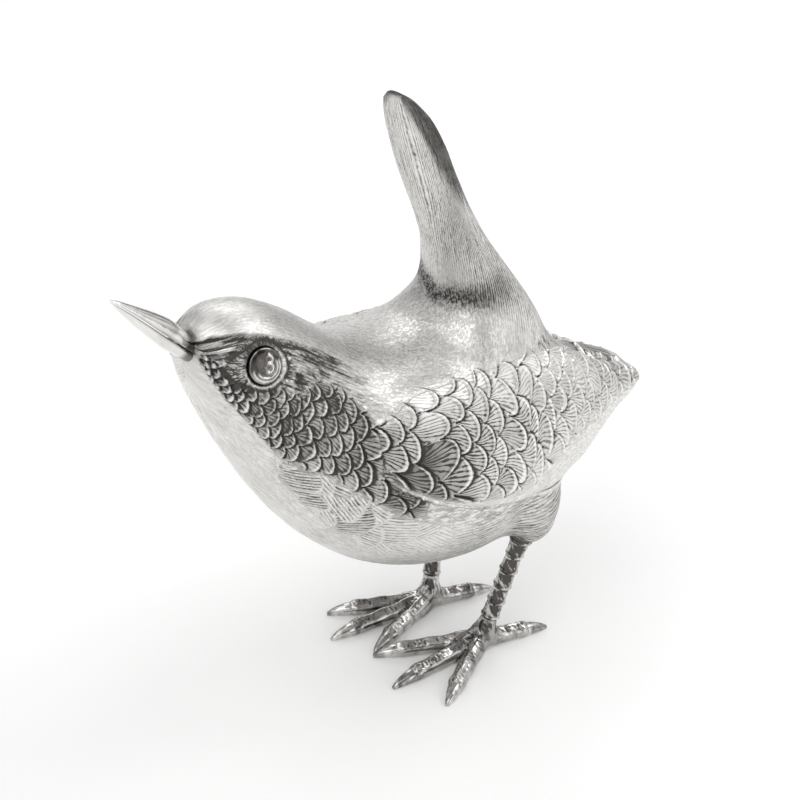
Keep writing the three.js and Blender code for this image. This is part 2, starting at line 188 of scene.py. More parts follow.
# Strokes laid over each other: length, start, sway, width in millimetres, and seed.
STROKE_KINDS = {
    "fine": (1.7, 7.3, 1.0, 0.42, 5), "coarse": (2.3, 2.1, 1.4, 0.8, 9),
    "long": (6.0, 0.0, 0.5, 0.5, 13), "short": (2.1, 3.7, 0.5, 0.34, 15),
}
# Shares of darkening on the plain coat. Most are tarnish; the belly and the crown are painted shade, and the
# brow band is tarnish deepened by painted shade under its ridge.
TARNISH_AND_SHADE = {
    "brow": 0.28, "brow_line": 0.30, "behind_eye": 0.08, "crown": 0.06, "tail_root": 0.62, "tail_end": 0.74,
    "cloud": 0.12, "belly": 0.20,
}
USUAL_QUARTER_GIRTH = 13.0
# Cheek scales in a quarter of the way round, and the distance between their rows as a share of their width.
CHEEK_SCALES = 6.3
CHEEK_ROW = 0.62
# The breast's patches of hatch in millimetres, and how far each can be turned, in radians.
HATCH_LENGTH, HATCH_WIDTH = 2.6, 3.2
HATCH_TURN = 0.65
# Feathers of the wing, by wing sections from the shoulder. Across the wing the share is 1 at its top edge
# and -1 at its bottom edge. Row shares go by millimetres from the shoulder.
WING_LOW_EDGE = ([0, 0.8, 1.92, 3.1, 3.78, 4.6, 4.95, 7.45, 8],
                 [-1.1, -1.0, -0.92, -0.87, -0.79, -0.55, -0.42, -0.22, -0.3])
WING_FEATHER_WIDTH = ([0, 1, 2.5, 5, 6.2, 7.2], [3.0, 3.3, 3.5, 3.1, 3.3, 4.2])
WING_ROW_SHARES = ([0, 3, 7, 16, 26, 36, 44], [0.85, 1.15, 1.3, 1.05, 0.95, 0.95, 0.9])
WING_LIFT = ([0, 1, 5, 7.5], [0.8, 1, 0.8, 0.45])
WING_SHADE = ([0, 1.8, 3.2, 5.0, 6.5, 8], [0.60, 0.54, 0.22, 0.08, 0.20, 0.24])
WING_BARBS = ([0, 1.6, 3.2, 5.5, 6.8], [1.0, 0.95, 0.9, 0.8, 0.6])
WING_LENGTH = 60
# The wing's curve across is this much longer than its chord.
WING_BULGE = 1.08
# Distance from a feather's edge and width, in millimetres, of its rim, the cut behind it and its tarnish.
RIM = (0.26, 0.2)
CUT = (0.12, 0.22)
CUT_STAIN = (0.06, 0.34)
# Rows from a feather's free edge back to where it has sunk to the skin, and to the root of its lines.
FEATHER_COVER, FEATHER_ROOT = 1.7, 1.9

# Nodes that each piece of the skin replaces, and the places where the pieces part.
SKIN_PARTS = {
    "skin_head": ["head", "neck"],
    "skin_back": [],
    "skin_breast": [],
    "skin_belly": ["trunk", "thigh_left", "thigh_right"],
    "skin_tail": ["tail"],
    "skin_wing_left": ["wing_left"],
    "skin_wing_right": ["wing_right"],
}
HEAD_END, BREAST_END, TAIL_START = 5.6, 9.5, 15.2
# Hollows are measured against this depth in millimetres, and shallow ones hold no tarnish.
SKIN_HOLLOW, LEG_HOLLOW = 0.05, 0.03
HOLLOW_FLOOR, HOLLOW_STAIN = 0.16, 0.9
# How many neighbours away a hollow is felt.
HOLLOW_ROUNDS = 3
# Depth of the finest bumps in metres, and cells of grain to the metre.
BUMP_DEPTH = 0.0001
GRAIN_SCALE, WORN_SCALE, PATCH_SCALE, PIT_SCALE, FIBRE_SCALE = 4200.0, 210.0, 420.0, 1100.0, 900.0
# Cut strokes of the satin skin: cells to the millimetre along and across the lie, and slant in radians.
STROKE_LAYERS = (((0.75, 3.9, 1.0), 0.0), ((1.0, 4.6, 1.0), 0.45), ((0.9, 4.2, 1.0), -0.4))
# Cells of scratches to the metre along x y z, and strength of the dark patches, of each polished silver.
POLISHES = {
    "eye_silver": ((1500.0, 1500.0, 1500.0), 0.15),
    "bill_silver": ((900.0, 160.0, 160.0), 0.1),
    "leg_silver": ((700.0, 700.0, 350.0), 0.35),
}
# Curls in the eye, in millimetres: middle forward and up, radius, thickness, and reach past the middle.
EYE_CURLS = ((-0.10, 0.78, 0.44, 0.15, 0.40), (-0.20, -0.10, 0.50, 0.16, 0.45))
# Crescents in the eye: radius and thickness in millimetres, limits of their ends, and turn in radians.
EYE_CRESCENTS = ((1.28, 0.12, -0.15, 0.35, 2.25), (1.66, 0.13, -0.3, 0.3, 2.0))

# Metres on the stage. The camera and lamps look at the target, which is in the outlines' frame.
FLOOR_REACH = 3.0
TARGET = (-0.0008, -0.0072, 0.035)
SENSOR_WIDTH = 36
NEAREST_SEEN = 0.01
FIBRE_COLOUR = (0.95, 0.95, 0.945, 1)
# The tent's white panels, the gaps between them, and the backdrop that the camera sees.
PANEL_COLOUR, GAP_COLOUR, BACKDROP = (1.0, 1.0, 1.0, 1), (0.10, 0.10, 0.105, 1), (0.98, 0.98, 0.975, 1)
PANEL_SCALE = 1.7
# Each lamp's place from the target, its width in metres and its power in watts.
LAMPS = {
    "key": ((0.06, -0.20, 0.44), 0.46, 0.88),
    "fill": ((0.38, 0.14, 0.15), 0.30, 0.30),
    "rim": ((-0.30, 0.20, 0.30), 0.24, 0.30),
    "crest": ((0.07, 0.30, 0.38), 0.30, 0.55),
}


def along_curve(stops, places):
    """Values between evenly spaced stops on a smooth curve through them."""
    last = len(stops) - 1
    padded = np.concatenate([[2 * stops[0] - stops[1]], stops, [2 * stops[-1] - stops[-2]]])
    start = np.clip(np.floor(places).astype(int), 0, last - 1)
    t = (places - start)[..., None]
    before, here, after, beyond = (padded[start + step] for step in range(4))
    return (
        (2 * t**3 - 3 * t**2 + 1) * here
        + (t**3 - 2 * t**2 + t) * (after - before) / 2
        + (3 * t**2 - 2 * t**3) * after
        + (t**3 - t**2) * (beyond - here) / 2
    )


def line_length(stops, places):
    """Length along a curve through stops up to each place, in millimetres."""
    fine = np.linspace(0, len(stops) - 1, CURVE_SAMPLES)
    steps = np.linalg.norm(np.diff(along_curve(stops, fine), axis=0), axis=1)
    return np.interp(places, fine, np.concatenate([[0], np.cumsum(steps)]))


def rise(low, high, value):
    """0 below low, 1 above high and smooth between them. It falls instead when low is above high."""
    t = np.clip((value - low) / (high - low), 0, 1)
    return t * t * (3 - 2 * t)


def bump_at(value, middle, width):
    """1 at the middle and 0 away from it."""
    return np.exp(-(((value - middle) / width) ** 2))


def squared(value, exponent):
    """A power that keeps the sign."""
    return np.sign(value) * np.abs(value) ** exponent


def unit(vectors):
    """The same directions with a length of 1."""
    return vectors / np.maximum(np.linalg.norm(vectors, axis=-1, keepdims=True), 1e-12)


def full_turn(sides):
    """Evenly spaced angles once round."""
    return np.arange(sides) / sides * TAU


def chance(rows, columns, seed):
    """A fixed number between 0 and 1 for each pair of whole numbers."""
    table = np.random.RandomState(seed).rand(CHANCE_CELLS, CHANCE_CELLS)
    return table[rows.astype(int) % CHANCE_CELLS, columns.astype(int) % CHANCE_CELLS]


def mottle(x, y, seed):
    """Smooth grain between -1 and 1, one grain to the unit."""
    column, row = np.floor(x), np.floor(y)
    tx, ty = x - column, y - row
    tx, ty = tx * tx * (3 - 2 * tx), ty * ty * (3 - 2 * ty)
    near = chance(row, column, seed) * (1 - tx) + chance(row, column + 1, seed) * tx
    far = chance(row + 1, column, seed) * (1 - tx) + chance(row + 1, column + 1, seed) * tx
    return 2 * (near * (1 - ty) + far * ty) - 1


def body_rings(places, angles):
    """Points on the body, one row for each place along it."""
    section = along_curve(BODY_SECTIONS, places)[:, None, :]
    half, square = section[..., 4], section[..., 5]
    share = (1 + squared(np.sin(angles), 2 / square)) / 2
    x = half * squared(np.cos(angles), 2 / square)
    back, front = section[..., 0:2], section[..., 2:4]
    return np.concatenate([x[..., None], front + (back - front) * share[..., None]], 2)


def wing_rings(places, angles):
    """Points on the left wing. The angle is 0 at its top edge and a half turn at its bottom edge."""
    section = along_curve(WING_SECTIONS, places)
    top, bottom = section[:, 0:3], section[:, 3:6]
    chord = top - bottom
    outward = unit(chord[:, [2, 1, 0]] * np.array([1, 0, -1]))
    sine = np.sin(angles)[None]
    depth = np.where(sine > 0, section[:, 6:7], section[:, 7:8]) * sine
    middle = (top + bottom)[:, None] / 2
    up = chord[:, None] / 2 * np.cos(angles)[None, :, None]
    return middle + up + outward[:, None] * depth[..., None]


def tube_rings(centres, radii, sides):
    """Rings of points round a path."""
    ahead = unit(np.gradient(centres, axis=0))
    across = unit(np.array([1.0, 0, 0]) - ahead * ahead[:, :1])
    over = np.cross(ahead, across)
    turn = full_turn(sides)
    spoke = across[:, None] * np.cos(turn)[None, :, None] + over[:, None] * np.sin(turn)[None, :, None]
    return centres[:, None] + spoke * np.asarray(radii)[:, None, None]


def closed_loft(rings):
    """Points and faces of a closed tube through rings of points."""
    rows, sides = rings.shape[:2]
    index = np.arange(rows * sides).reshape(rows, sides)
    beside = np.roll(index, -1, 1)
    quads = np.stack([index[:-1], beside[:-1], beside[1:], index[1:]], 2).reshape(-1, 4)
    ends = np.concatenate([rings[:1].mean(1), rings[-1:].mean(1)])
    points = np.concatenate([rings.reshape(-1, 3), ends])
    first, last = rows * sides, rows * sides + 1
    caps = [[first, beside[0, k], index[0, k]] for k in range(sides)]
    caps += [[last, index[-1, k], beside[-1, k]] for k in range(sides)]
    return points, [list(face) for face in quads] + caps


def tube(stops, rows, sides):
    """A closed tube along a smooth curve through stops of x y z and radius."""
    line = along_curve(stops, np.linspace(0, len(stops) - 1, rows))
    return closed_loft(tube_rings(line[:, :3], line[:, 3], sides))


def joined(parts):
    """One list of points and faces from several."""
    points, faces, count = [], [], 0
    for part_points, part_faces in parts:
        points.append(part_points)
        faces += [[corner + count for corner in face] for face in part_faces]
        count += len(part_points)
    return np.concatenate(points), faces


def flipped(faces):
    """The same faces seen from the other side."""
    return [face[::-1] for face in faces]


def mirrored(part, side):
    """The same part on the other side of the bird when side is -1."""
    points, faces = part
    if side > 0:
        return points, faces
    return points * np.array([-1, 1, 1]), flipped(faces)


def unsided(points):
    """The points as they would lie on the bird's left."""
    return np.stack([np.abs(points[:, 0]), points[:, 1], points[:, 2]], 1)


def reshaped(points, faces, steps):
    """Points and quads after modifiers, each given by its kind and settings."""
    mesh = bpy.data.meshes.new("casting_wax")
    mesh.from_pydata(points.tolist(), [], faces)
    wax = bpy.data.objects.new("casting_wax", mesh)
    bpy.context.scene.collection.objects.link(wax)
    for kind, settings in steps:
        modifier = wax.modifiers.new(kind, kind)
        for key, value in settings.items():
            setattr(modifier, key, value)
    evaluated = wax.evaluated_get(bpy.context.evaluated_depsgraph_get())
    result = bpy.data.meshes.new_from_object(evaluated)
    places = np.empty(len(result.vertices) * 3)
    result.vertices.foreach_get("co", places)
    corners = np.empty(len(result.loops), int)
    result.loops.foreach_get("vertex_index", corners)
    bpy.data.objects.remove(wax)
    bpy.data.meshes.remove(mesh)
    bpy.data.meshes.remove(result)
    return places.reshape(-1, 3), corners.reshape(-1, 4)


def remeshed(parts, voxel):
    """One closed skin of quads over all the parts."""
    return reshaped(*joined(parts), [
        ("REMESH", {"mode": "VOXEL", "voxel_size": voxel}), ("SMOOTH", {"factor": 0.5, "iterations": 3}),
    ])


def edges_of(quads):
    """Each edge of a closed skin once, as pairs of points."""
    pairs = np.concatenate([quads[:, [corner, (corner + 1) % 4]] for corner in range(4)])
    return pairs[pairs[:, 0] < pairs[:, 1]]


def neighbour_mean(values, edges, count):
    """The mean over each point's neighbours."""
    total = np.zeros((count, values.shape[1]))
    for column in range(values.shape[1]):
        total[:, column] += np.bincount(edges[:, 0], values[edges[:, 1], column], count)
        total[:, column] += np.bincount(edges[:, 1], values[edges[:, 0], column], count)
    number = np.bincount(edges.ravel(), minlength=count)
    return total / np.maximum(number, 1)[:, None]


def relaxed(points, edges, share, rounds):
    """Points moved towards their neighbours by share, a number or one number for each point."""
    share = np.broadcast_to(np.asarray(share, float), len(points))[:, None]
    for _ in range(rounds):
        points = points + share * (neighbour_mean(points, edges, len(points)) - points)
    return points


def point_normals(points, quads):
    """The direction that the skin faces at each point."""
    across = np.cross(points[quads[:, 2]] - points[quads[:, 0]], points[quads[:, 3]] - points[quads[:, 1]])
    normals = np.zeros_like(points)
    for corner in range(4):
        for axis in range(3):
            normals[:, axis] += np.bincount(quads[:, corner], across[:, axis], len(points))
    return unit(normals)


def hollows(points, quads, normals, reach):
    """How far each point lies below its neighbours, as a share of reach in millimetres."""
    edges = edges_of(quads)
    mean = points
    for _ in range(HOLLOW_ROUNDS):
        mean = neighbour_mean(mean, edges, len(points))
    return ((mean - points) * normals).sum(1) / reach


def side_view_table(places_yz, values, growth):
    """Values over a grid of the side view, spread past their edge by growth cells."""
    cell = np.floor((places_yz - SIDE_VIEW_LOW) / CELL).astype(int)
    flat = cell[:, 0] * SIDE_VIEW_CELLS[1] + cell[:, 1]
    size = SIDE_VIEW_CELLS[0] * SIDE_VIEW_CELLS[1]
    count = np.bincount(flat, minlength=size)
    layers = [np.bincount(flat, values[:, k], size) / np.maximum(count, 1) for k in range(values.shape[1])]
    grid = np.stack(layers, 1).reshape(*SIDE_VIEW_CELLS, -1)
    known = (count > 0).reshape(SIDE_VIEW_CELLS)
    for _ in range(growth):
        total = np.zeros_like(grid)
        number = np.zeros(SIDE_VIEW_CELLS)
        for axis in (0, 1):
            for step in (-1, 1):
                total += np.roll(np.where(known[..., None], grid, 0), step, axis)
                number += np.roll(known, step, axis)
        fresh = ~known & (number > 0)
        grid[fresh] = total[fresh] / number[fresh][:, None]
        known |= fresh
    return grid, known


def read_side_view(table, points):
    """Values at points, blended between the four nearest cells, and whether all four are known."""
    grid, known = table
    place = (points[:, 1:3] - SIDE_VIEW_LOW) / CELL - 0.5
    corner = np.clip(np.floor(place).astype(int), 0, np.array(SIDE_VIEW_CELLS) - 2)
    t = place - corner
    total, sure = 0, True
    for dy in (0, 1):
        for dz in (0, 1):
            weight = (t[:, 0] if dy else 1 - t[:, 0]) * (t[:, 1] if dz else 1 - t[:, 1])
            total = total + grid[corner[:, 0] + dy, corner[:, 1] + dz] * weight[:, None]
            sure = sure & known[corner[:, 0] + dy, corner[:, 1] + dz]
    return total, sure


def quarter_girth(section):
    """A quarter of the way round each section of the body, in millimetres."""
    tall = np.linalg.norm(section[:, 0:2] - section[:, 2:4], axis=1)
    return math.pi / 2 * np.sqrt((section[:, 4] ** 2 + tall**2 / 4) / 2)


def body_places(points):
    """Place along the body, angle up from its widest line, and quarter girth at each point."""
    places = np.linspace(0, BODY_LAST, BODY_SAMPLES[0])
    shares = np.linspace(0, 1, BODY_SAMPLES[1])
    section = along_curve(BODY_SECTIONS, places)
    back, front = section[:, None, 0:2], section[:, None, 2:4]
    spots = front + (back - front) * shares[None, :, None]
    values = np.stack(np.broadcast_arrays(places[:, None], shares[None]), 2)
    table = side_view_table(spots.reshape(-1, 2), values.reshape(-1, 2), BODY_GROWTH)
    found, _ = read_side_view(table, points)
    place = np.clip(found[:, 0], 0, BODY_LAST)
    own = along_curve(BODY_SECTIONS, place)
    sine = squared(np.clip(2 * found[:, 1] - 1, -1.3, 1.3), own[:, 5] / 2)
    cosine = (np.abs(points[:, 0]) / own[:, 4]) ** (own[:, 5] / 2)
    return place, np.arctan2(sine, cosine) / (math.pi / 2), quarter_girth(own)


def wing_places(points):
    """Place along the wing, place across it from 0 at the top to 1 at the bottom, and a weight."""
    places = np.linspace(0, WING_LAST, WING_SAMPLES[0])
    angles = np.linspace(0, math.pi, WING_SAMPLES[1])
    rings = wing_rings(places, angles)
    values = np.stack(np.broadcast_arrays(places[:, None], angles[None] / math.pi, rings[..., 0]), 2)
    table = side_view_table(rings[..., 1:3].reshape(-1, 2), values.reshape(-1, 3), WING_GROWTH)
    found, sure = read_side_view(table, points)
    apart = np.abs(found[:, 2] - np.abs(points[:, 0]))
    reach = np.interp(points[:, 1], *WING_REACH)
    weight = np.where(sure, rise(reach + 1, reach, apart), 0)
    return found[:, 0], found[:, 1], weight


def feather_rows(along, across, roundness, unevenness, seed):
    """Rounded feathers laid in rows like roof slates, the front rows over the back ones.

    Along and across count feathers. Gives how far each point lies in front of its feather's free edge,
    how far behind the edge of the feather over it, its sideways place on the feather, and its chance.
    """
    row = np.floor(along) - 2
    own_edge = np.full(len(along), np.inf)
    over_edge = np.full(len(along), -np.inf)
    sideways = np.zeros(len(along))
    luck = np.zeros(len(along))
    for step in range(5):
        this = row + step
        shifted = across - 0.5 * (this % 2)
        column = np.round(shifted)
        local = shifted - column
        draw = chance(this + 40, column + 40, seed)
        uneven = unevenness * (chance(this + 90, column + 90, seed) - 0.5)
        depth = roundness * (0.78 + 0.44 * draw)
        edge = this + uneven + depth * np.sqrt(np.clip(1 - (2 * local) ** 2, 0, 1))
        covers = (edge > along) & ~np.isfinite(own_edge)
        own_edge = np.where(covers, edge, own_edge)
        sideways = np.where(covers, local, sideways)
        luck = np.where(covers, draw, luck)
        passed = (edge <= along) & ~np.isfinite(own_edge)
        over_edge = np.where(passed, np.maximum(over_edge, edge), over_edge)
    return own_edge - along, along - over_edge, sideways, luck


def feather_relief(ahead, behind, row_length, lift, rim):
    """Height in millimetres of overlapping feathers, and how dark the cut behind each edge is."""
    height = lift * (1 - ahead / FEATHER_COVER) + rim * bump_at(ahead * row_length, *RIM)
    height -= rim * 1.2 * bump_at(behind * row_length, *CUT)
    return height, bump_at(behind * row_length, *CUT_STAIN)


def fan_lie(ahead, sideways, row_length, width, shift):
    """Coordinates that run out from a feather's root: distance from the root, and angle as a width."""
    reach = row_length * (FEATHER_ROOT - ahead)
    turn = np.arctan2(sideways * width, reach + 0.25 * width)
    return np.stack([reach, turn * (1.75 * row_length) + shift], 1)


def zone(place, angle, place_spans, angle_spans):
    """1 inside a zone of the coat and 0 outside it."""
    share = np.ones(len(place))
    for spans, value in ((place_spans, place), (angle_spans, angle)):
        for start, full in spans:
            share = share * rise(start, full, value)
    return share


class Relief:
    """Height, darkness and lie of the feathers at every point of the skin."""

    def __init__(self, points, sizes):
        self.points = points
        self.sizes = sizes
        self.place, self.angle, self.girth = body_places(points)
        self.wing_place, self.wing_across, self.wing = wing_places(points)
        self.side = np.where(points[:, 0] < 0, -1.0, 1.0)
        self.spine = line_length(BODY_MIDLINE, self.place)
        self.round = self.side * (1 - self.angle) * np.sqrt(USUAL_QUARTER_GIRTH * self.girth)
        self.low, self.high, self.brow = (
            np.interp(self.place, *edge) for edge in (CHEEK_LOW, CHEEK_HIGH, BROW_EDGE))
        self.band = rise(self.brow + 0.02, self.brow - 0.03, self.angle)
        self.band *= rise(self.high - 0.02, self.high + 0.08, self.angle)
        self.height = np.zeros(len(points))
        self.barb = np.zeros(len(points))
        self.lie = np.stack([self.spine, self.round], 1)
        self.tone, self.dark = self.coat_zones()
        self.cut_strokes()
        self.cut_cheek()
        self.cut_breast_hatch()
        self.cut_wing()
        self.cut_eye()

    def coat_zones(self):
        """How strongly the fine strokes are cut in each part of the coat, and how dark it is there."""
        u, a, brow = self.place, self.angle, self.brow
        head = rise(6.4, 5.0, u)
        band = self.band * head
        root = bump_at(u, 14.6 - (a - 0.16) * 3.9, 0.6) * rise(-0.15, 0.2, a)
        far_side = rise(0.8, -0.8, self.points[:, 0]) * rise(-0.15, 0.25, a)
        end = np.interp(a, *TAIL_END_EDGE) + 2.2 * far_side
        tip = rise(end - 0.4, end + 1.2, u)
        tone = STROKE_BASE + 0.54 * band + 0.4 * root + 0.3 * tip
        for strength, place_spans, angle_spans in STROKE_ZONES.values():
            tone += strength * zone(u, a, place_spans, angle_spans)
        shares = {
            # Brow band: tarnish, darker towards its top edge as painted shade under the brow ridge.
            "brow": band * (0.6 + 0.4 * rise(brow - 0.22, brow - 0.04, a)),
            "brow_line": bump_at(a, brow - 0.035, 0.035) * rise(6.0, 4.6, u),
            "behind_eye": bump_at(u, 4.3, 0.7) * bump_at(a, 0.28, 0.13),
            # Painted shade on the crown, dimming its highlight.
            "crown": rise(0.5, 0.7, a) * head,
            "tail_root": root,
            "tail_end": tip,
            "cloud": (0.5 + 0.5 * mottle(self.spine / 2.6, self.round / 2.6, 29)) * rise(-0.15, -0.5, a),
            # Painted shade on the belly.
            "belly": rise(6.5, 9.0, u) * rise(0.0, -0.5, a),
        }
        dark = sum(TARNISH_AND_SHADE[name] * share for name, share in shares.items())
        return np.clip(tone, 0.05, 1), dark

    def cut_strokes(self):
        """Fine cuts along the lie of the coat, and the soft unevenness of the casting."""
        p, q = self.lie.T
        weave = 0.8 * mottle(p / 2.2, q / 2.2, 3)
        fine, coarse, long, short = (
            mottle(p / length + start, (q + sway * weave) / width, seed)
            for length, start, sway, width, seed in STROKE_KINDS.values())
        tail = rise(11.5, 14.0, self.place) * (1 - self.wing)
        band = self.band * rise(6.6, 5.4, self.place)
        strokes = (0.65 * fine + 0.35 * coarse) * (1 - tail) + (0.6 * short + 0.4 * long) * tail
        strokes = strokes * (1 - band) + 1.1 * short * band
        back = rise(0.2, 0.5, self.angle) * (1 - band) * (1 - tail)
        belly = rise(-0.05, -0.3, self.angle) * rise(5.5, 8.0, self.place)
        depth = self.sizes.stroke_depth * (0.25 + self.tone)
        self.height += depth * strokes * ((1 - 0.85 * back) * (1 - 0.4 * tail) - 0.6 * belly)
        self.height += (0.05 - 0.04 * back) * mottle(p / 3.3, q / 3.3, 11)
        brow_ridge = rise(self.brow - 0.05, self.brow + 0.02, self.angle) * rise(6.2, 4.4, self.place)
        self.height += 0.22 * brow_ridge
        darkening = 0.26 - 0.2 * np.maximum(np.maximum(back, belly), 0.6 * tail) + 0.22 * band
        self.dark += darkening * self.tone * rise(0.0, 0.55, -strokes) - 0.15 * band * rise(0.2, 0.7, strokes)
        self.barb = np.maximum(np.maximum(0.8 * tail, 0.45 * band), 0.65 * belly)

    def lay(self, mask, height, dark, lie, barb, tone):
        """Puts a zone of feathers over the strokes."""
        self.height = self.height * (1 - 0.75 * mask) + height * mask
        self.dark = self.dark * (1 - mask) + dark * mask
        self.barb = self.barb * (1 - mask) + barb * mask
        self.tone = self.tone * (1 - mask) + tone * mask
        strong = (mask > 0.45)[:, None]
        self.lie = np.where(strong, lie, self.lie)

    def cut_cheek(self):
        """Small scales from the bill back over the cheek to the shoulder."""
        u, a = self.place, self.angle
        mask = rise(self.low - 0.03, self.low + 0.05, a) * rise(self.high + 0.05, self.high - 0.03, a)
        mask = mask * rise(0.05, 0.3, u) * rise(7.5, 7.0, u)
        mask *= 1 - rise(0.3, 0.7, self.wing) * rise(0.4, 0.6, self.wing_place)
        fine = np.linspace(0, 8, 400)
        width = quarter_girth(along_curve(BODY_SECTIONS, fine)) / CHEEK_SCALES
        step = np.gradient(line_length(BODY_MIDLINE, fine))
        rows = np.interp(u, fine, np.cumsum(step / (width * CHEEK_ROW)))
        across = (1 - a) * CHEEK_SCALES + 0.05 * self.side + 0.10 * rows
        wobble = 0.34 * mottle(rows / 1.9, across / 1.9, 17) + 0.10 * mottle(rows / 0.45, across / 0.45, 18)
        sway = 0.26 * mottle(rows / 1.6 + 5, across / 1.6, 19)
        ahead, behind, sideways, luck = feather_rows(rows + wobble, across + sway, 0.95, 0.3, 21)
        own_width = self.girth / CHEEK_SCALES
        row_length = own_width * CHEEK_ROW
        height, dark = feather_relief(ahead, behind, row_length, 0.20, 0.16)
        lie = fan_lie(ahead, sideways, row_length, own_width, 7.0 * luck)
        rough = mottle(self.spine / 0.6, self.round / 0.6, 23)
        rim = bump_at(ahead * row_length, 0.2, 0.15) * (0.75 + 0.35 * rough)
        dark = np.clip(0.34 + 0.36 * luck + 0.6 * dark - 0.7 * rim + 0.08 * rough, 0, 1)
        self.lay(mask, height + 0.05 * rough, dark, lie, 0.75, 0.72 - 0.6 * rim)

    def cut_breast_hatch(self):
        """Faint patches of hatch between the cheek and the wing, each turned its own way."""
        u, a = self.place, self.angle
        mask = rise(self.low + 0.02, self.low - 0.04, a) * rise(-0.60, -0.44, a)
        mask = mask * rise(3.9, 4.7, u) * rise(8.6, 7.4, u) * (1 - self.wing) * 0.9
        p, q = self.spine, self.round
        along = p / HATCH_LENGTH + 0.5 * mottle(p / 3, q / 3, 31)
        across = q / HATCH_WIDTH + 0.4 * mottle(p / 3, q / 3, 35)
        ahead, behind, _, luck = feather_rows(along, across, 0.9, 0.5, 33)
        inside = rise(0.0, 0.2, behind) * rise(0.0, 0.12, ahead)
        turn = HATCH_TURN * (2 * luck - 1)
        lie = np.stack([p * np.cos(turn) - q * np.sin(turn), p * np.sin(turn) + q * np.cos(turn)], 1)
        fade = rise(8.4, 5.8, u) * (0.45 + 0.55 * rise(-0.58, -0.40, a)) * inside
        height = 0.03 * mottle(p / 1.6, q / 1.6, 37)
        self.lay(mask, height, (0.04 + 0.16 * luck) * fade, lie, 0.8, 0.28 + (0.65 + 0.6 * luck) * fade)

    def cut_wing(self):
        """Large overlapping feathers over the wing, long and close towards its tip."""
        s, across = self.wing_place, self.wing_across
        t = np.cos(across * math.pi)
        section = along_curve(WING_SECTIONS, np.clip(s, 0, WING_LAST))
        chord = np.linalg.norm(section[:, 0:3] - section[:, 3:6], axis=1)
        length = line_length(WING_MIDLINE, s)
        low = np.interp(s, *WING_LOW_EDGE)
        behind_cheek = rise(0.4, 0.6, s)
        top = 1 - 0.08 * rise(5.5, 4.0, s) - 0.3 * rise(1.8, 0.8, s)
        mask = rise(low - 0.05, low + 0.06, t) * behind_cheek * rise(0.3, 0.7, self.wing)
        mask *= np.maximum(rise(top, top - 0.3, t), rise(5.0, 6.2, s))
        spread = 0.35 * across + 0.65 * (1 - t) / 2
        curve = chord * WING_BULGE
        bands = np.clip(curve / np.interp(s, *WING_FEATHER_WIDTH), 1.1, 5)
        fine = np.linspace(0, WING_LENGTH, CURVE_SAMPLES)
        rows = self.sizes.wing_row * np.interp(fine, *WING_ROW_SHARES)
        row_length = np.interp(length, fine, rows)
        along = np.interp(length, fine, np.cumsum(fine[1] / rows)) + 0.3 + 0.55 * spread
        band = (spread - 0.5) * bands
        wobble = 0.42 * mottle(along / 1.7, band / 1.7, 41) + 0.03 * mottle(along / 0.4, band / 0.4, 42)
        sway = 0.34 * mottle(along / 1.7 + 9, band / 1.7, 45)
        ahead, behind, sideways, luck = feather_rows(along + wobble, band + 40.3 + sway, 0.85, 0.35, 43)
        lift = self.sizes.wing_lift * np.interp(s, *WING_LIFT)
        height, dark = feather_relief(ahead, behind, row_length, lift, 0.15)
        lie = fan_lie(ahead, sideways, row_length, curve / bands, 11.0 * luck)
        at_tip = rise(5.6, 6.6, s)
        shade = np.interp(s, *WING_SHADE) * np.maximum(rise(0.6, 0.0, t), at_tip) * (0.55 + 0.9 * luck)
        rim = bump_at(ahead * row_length, 0.26, 0.19)
        low_row = 0.6 * rise(low + 0.34, low + 0.1, t) * rise(2.0, 3.0, s)
        fade = (1 - 0.45 * rise(-0.1, 0.65, t) * (1 - at_tip)) * (1 - low_row)
        dark = np.clip(shade + 0.8 * dark * fade - 0.6 * rim, 0, 1)
        tone = np.interp(s, *WING_BARBS) * fade * (1 - 0.85 * rim)
        plain = rise(0.3, 0.9, self.wing) * (1 - mask) * behind_cheek * rise(0.55, 0.2, t)
        plain_lie = np.stack([length, across * chord * 1.3 + 0.35 * length], 1)
        plain_height = 0.04 * mottle(length / 2.4, across * chord / 0.5, 47)
        self.lay(plain, plain_height, 0 * dark, plain_lie, 0.0, 0.34)
        self.lay(mask, height, dark, lie, 1.0, tone)
        ledge = bump_at(across, 0.955, 0.022) * rise(0.8, 1.6, s) * rise(6.0, 4.6, s) * (self.wing > 0.05)
        self.height -= 0.12 * ledge
        self.dark += 0.45 * ledge

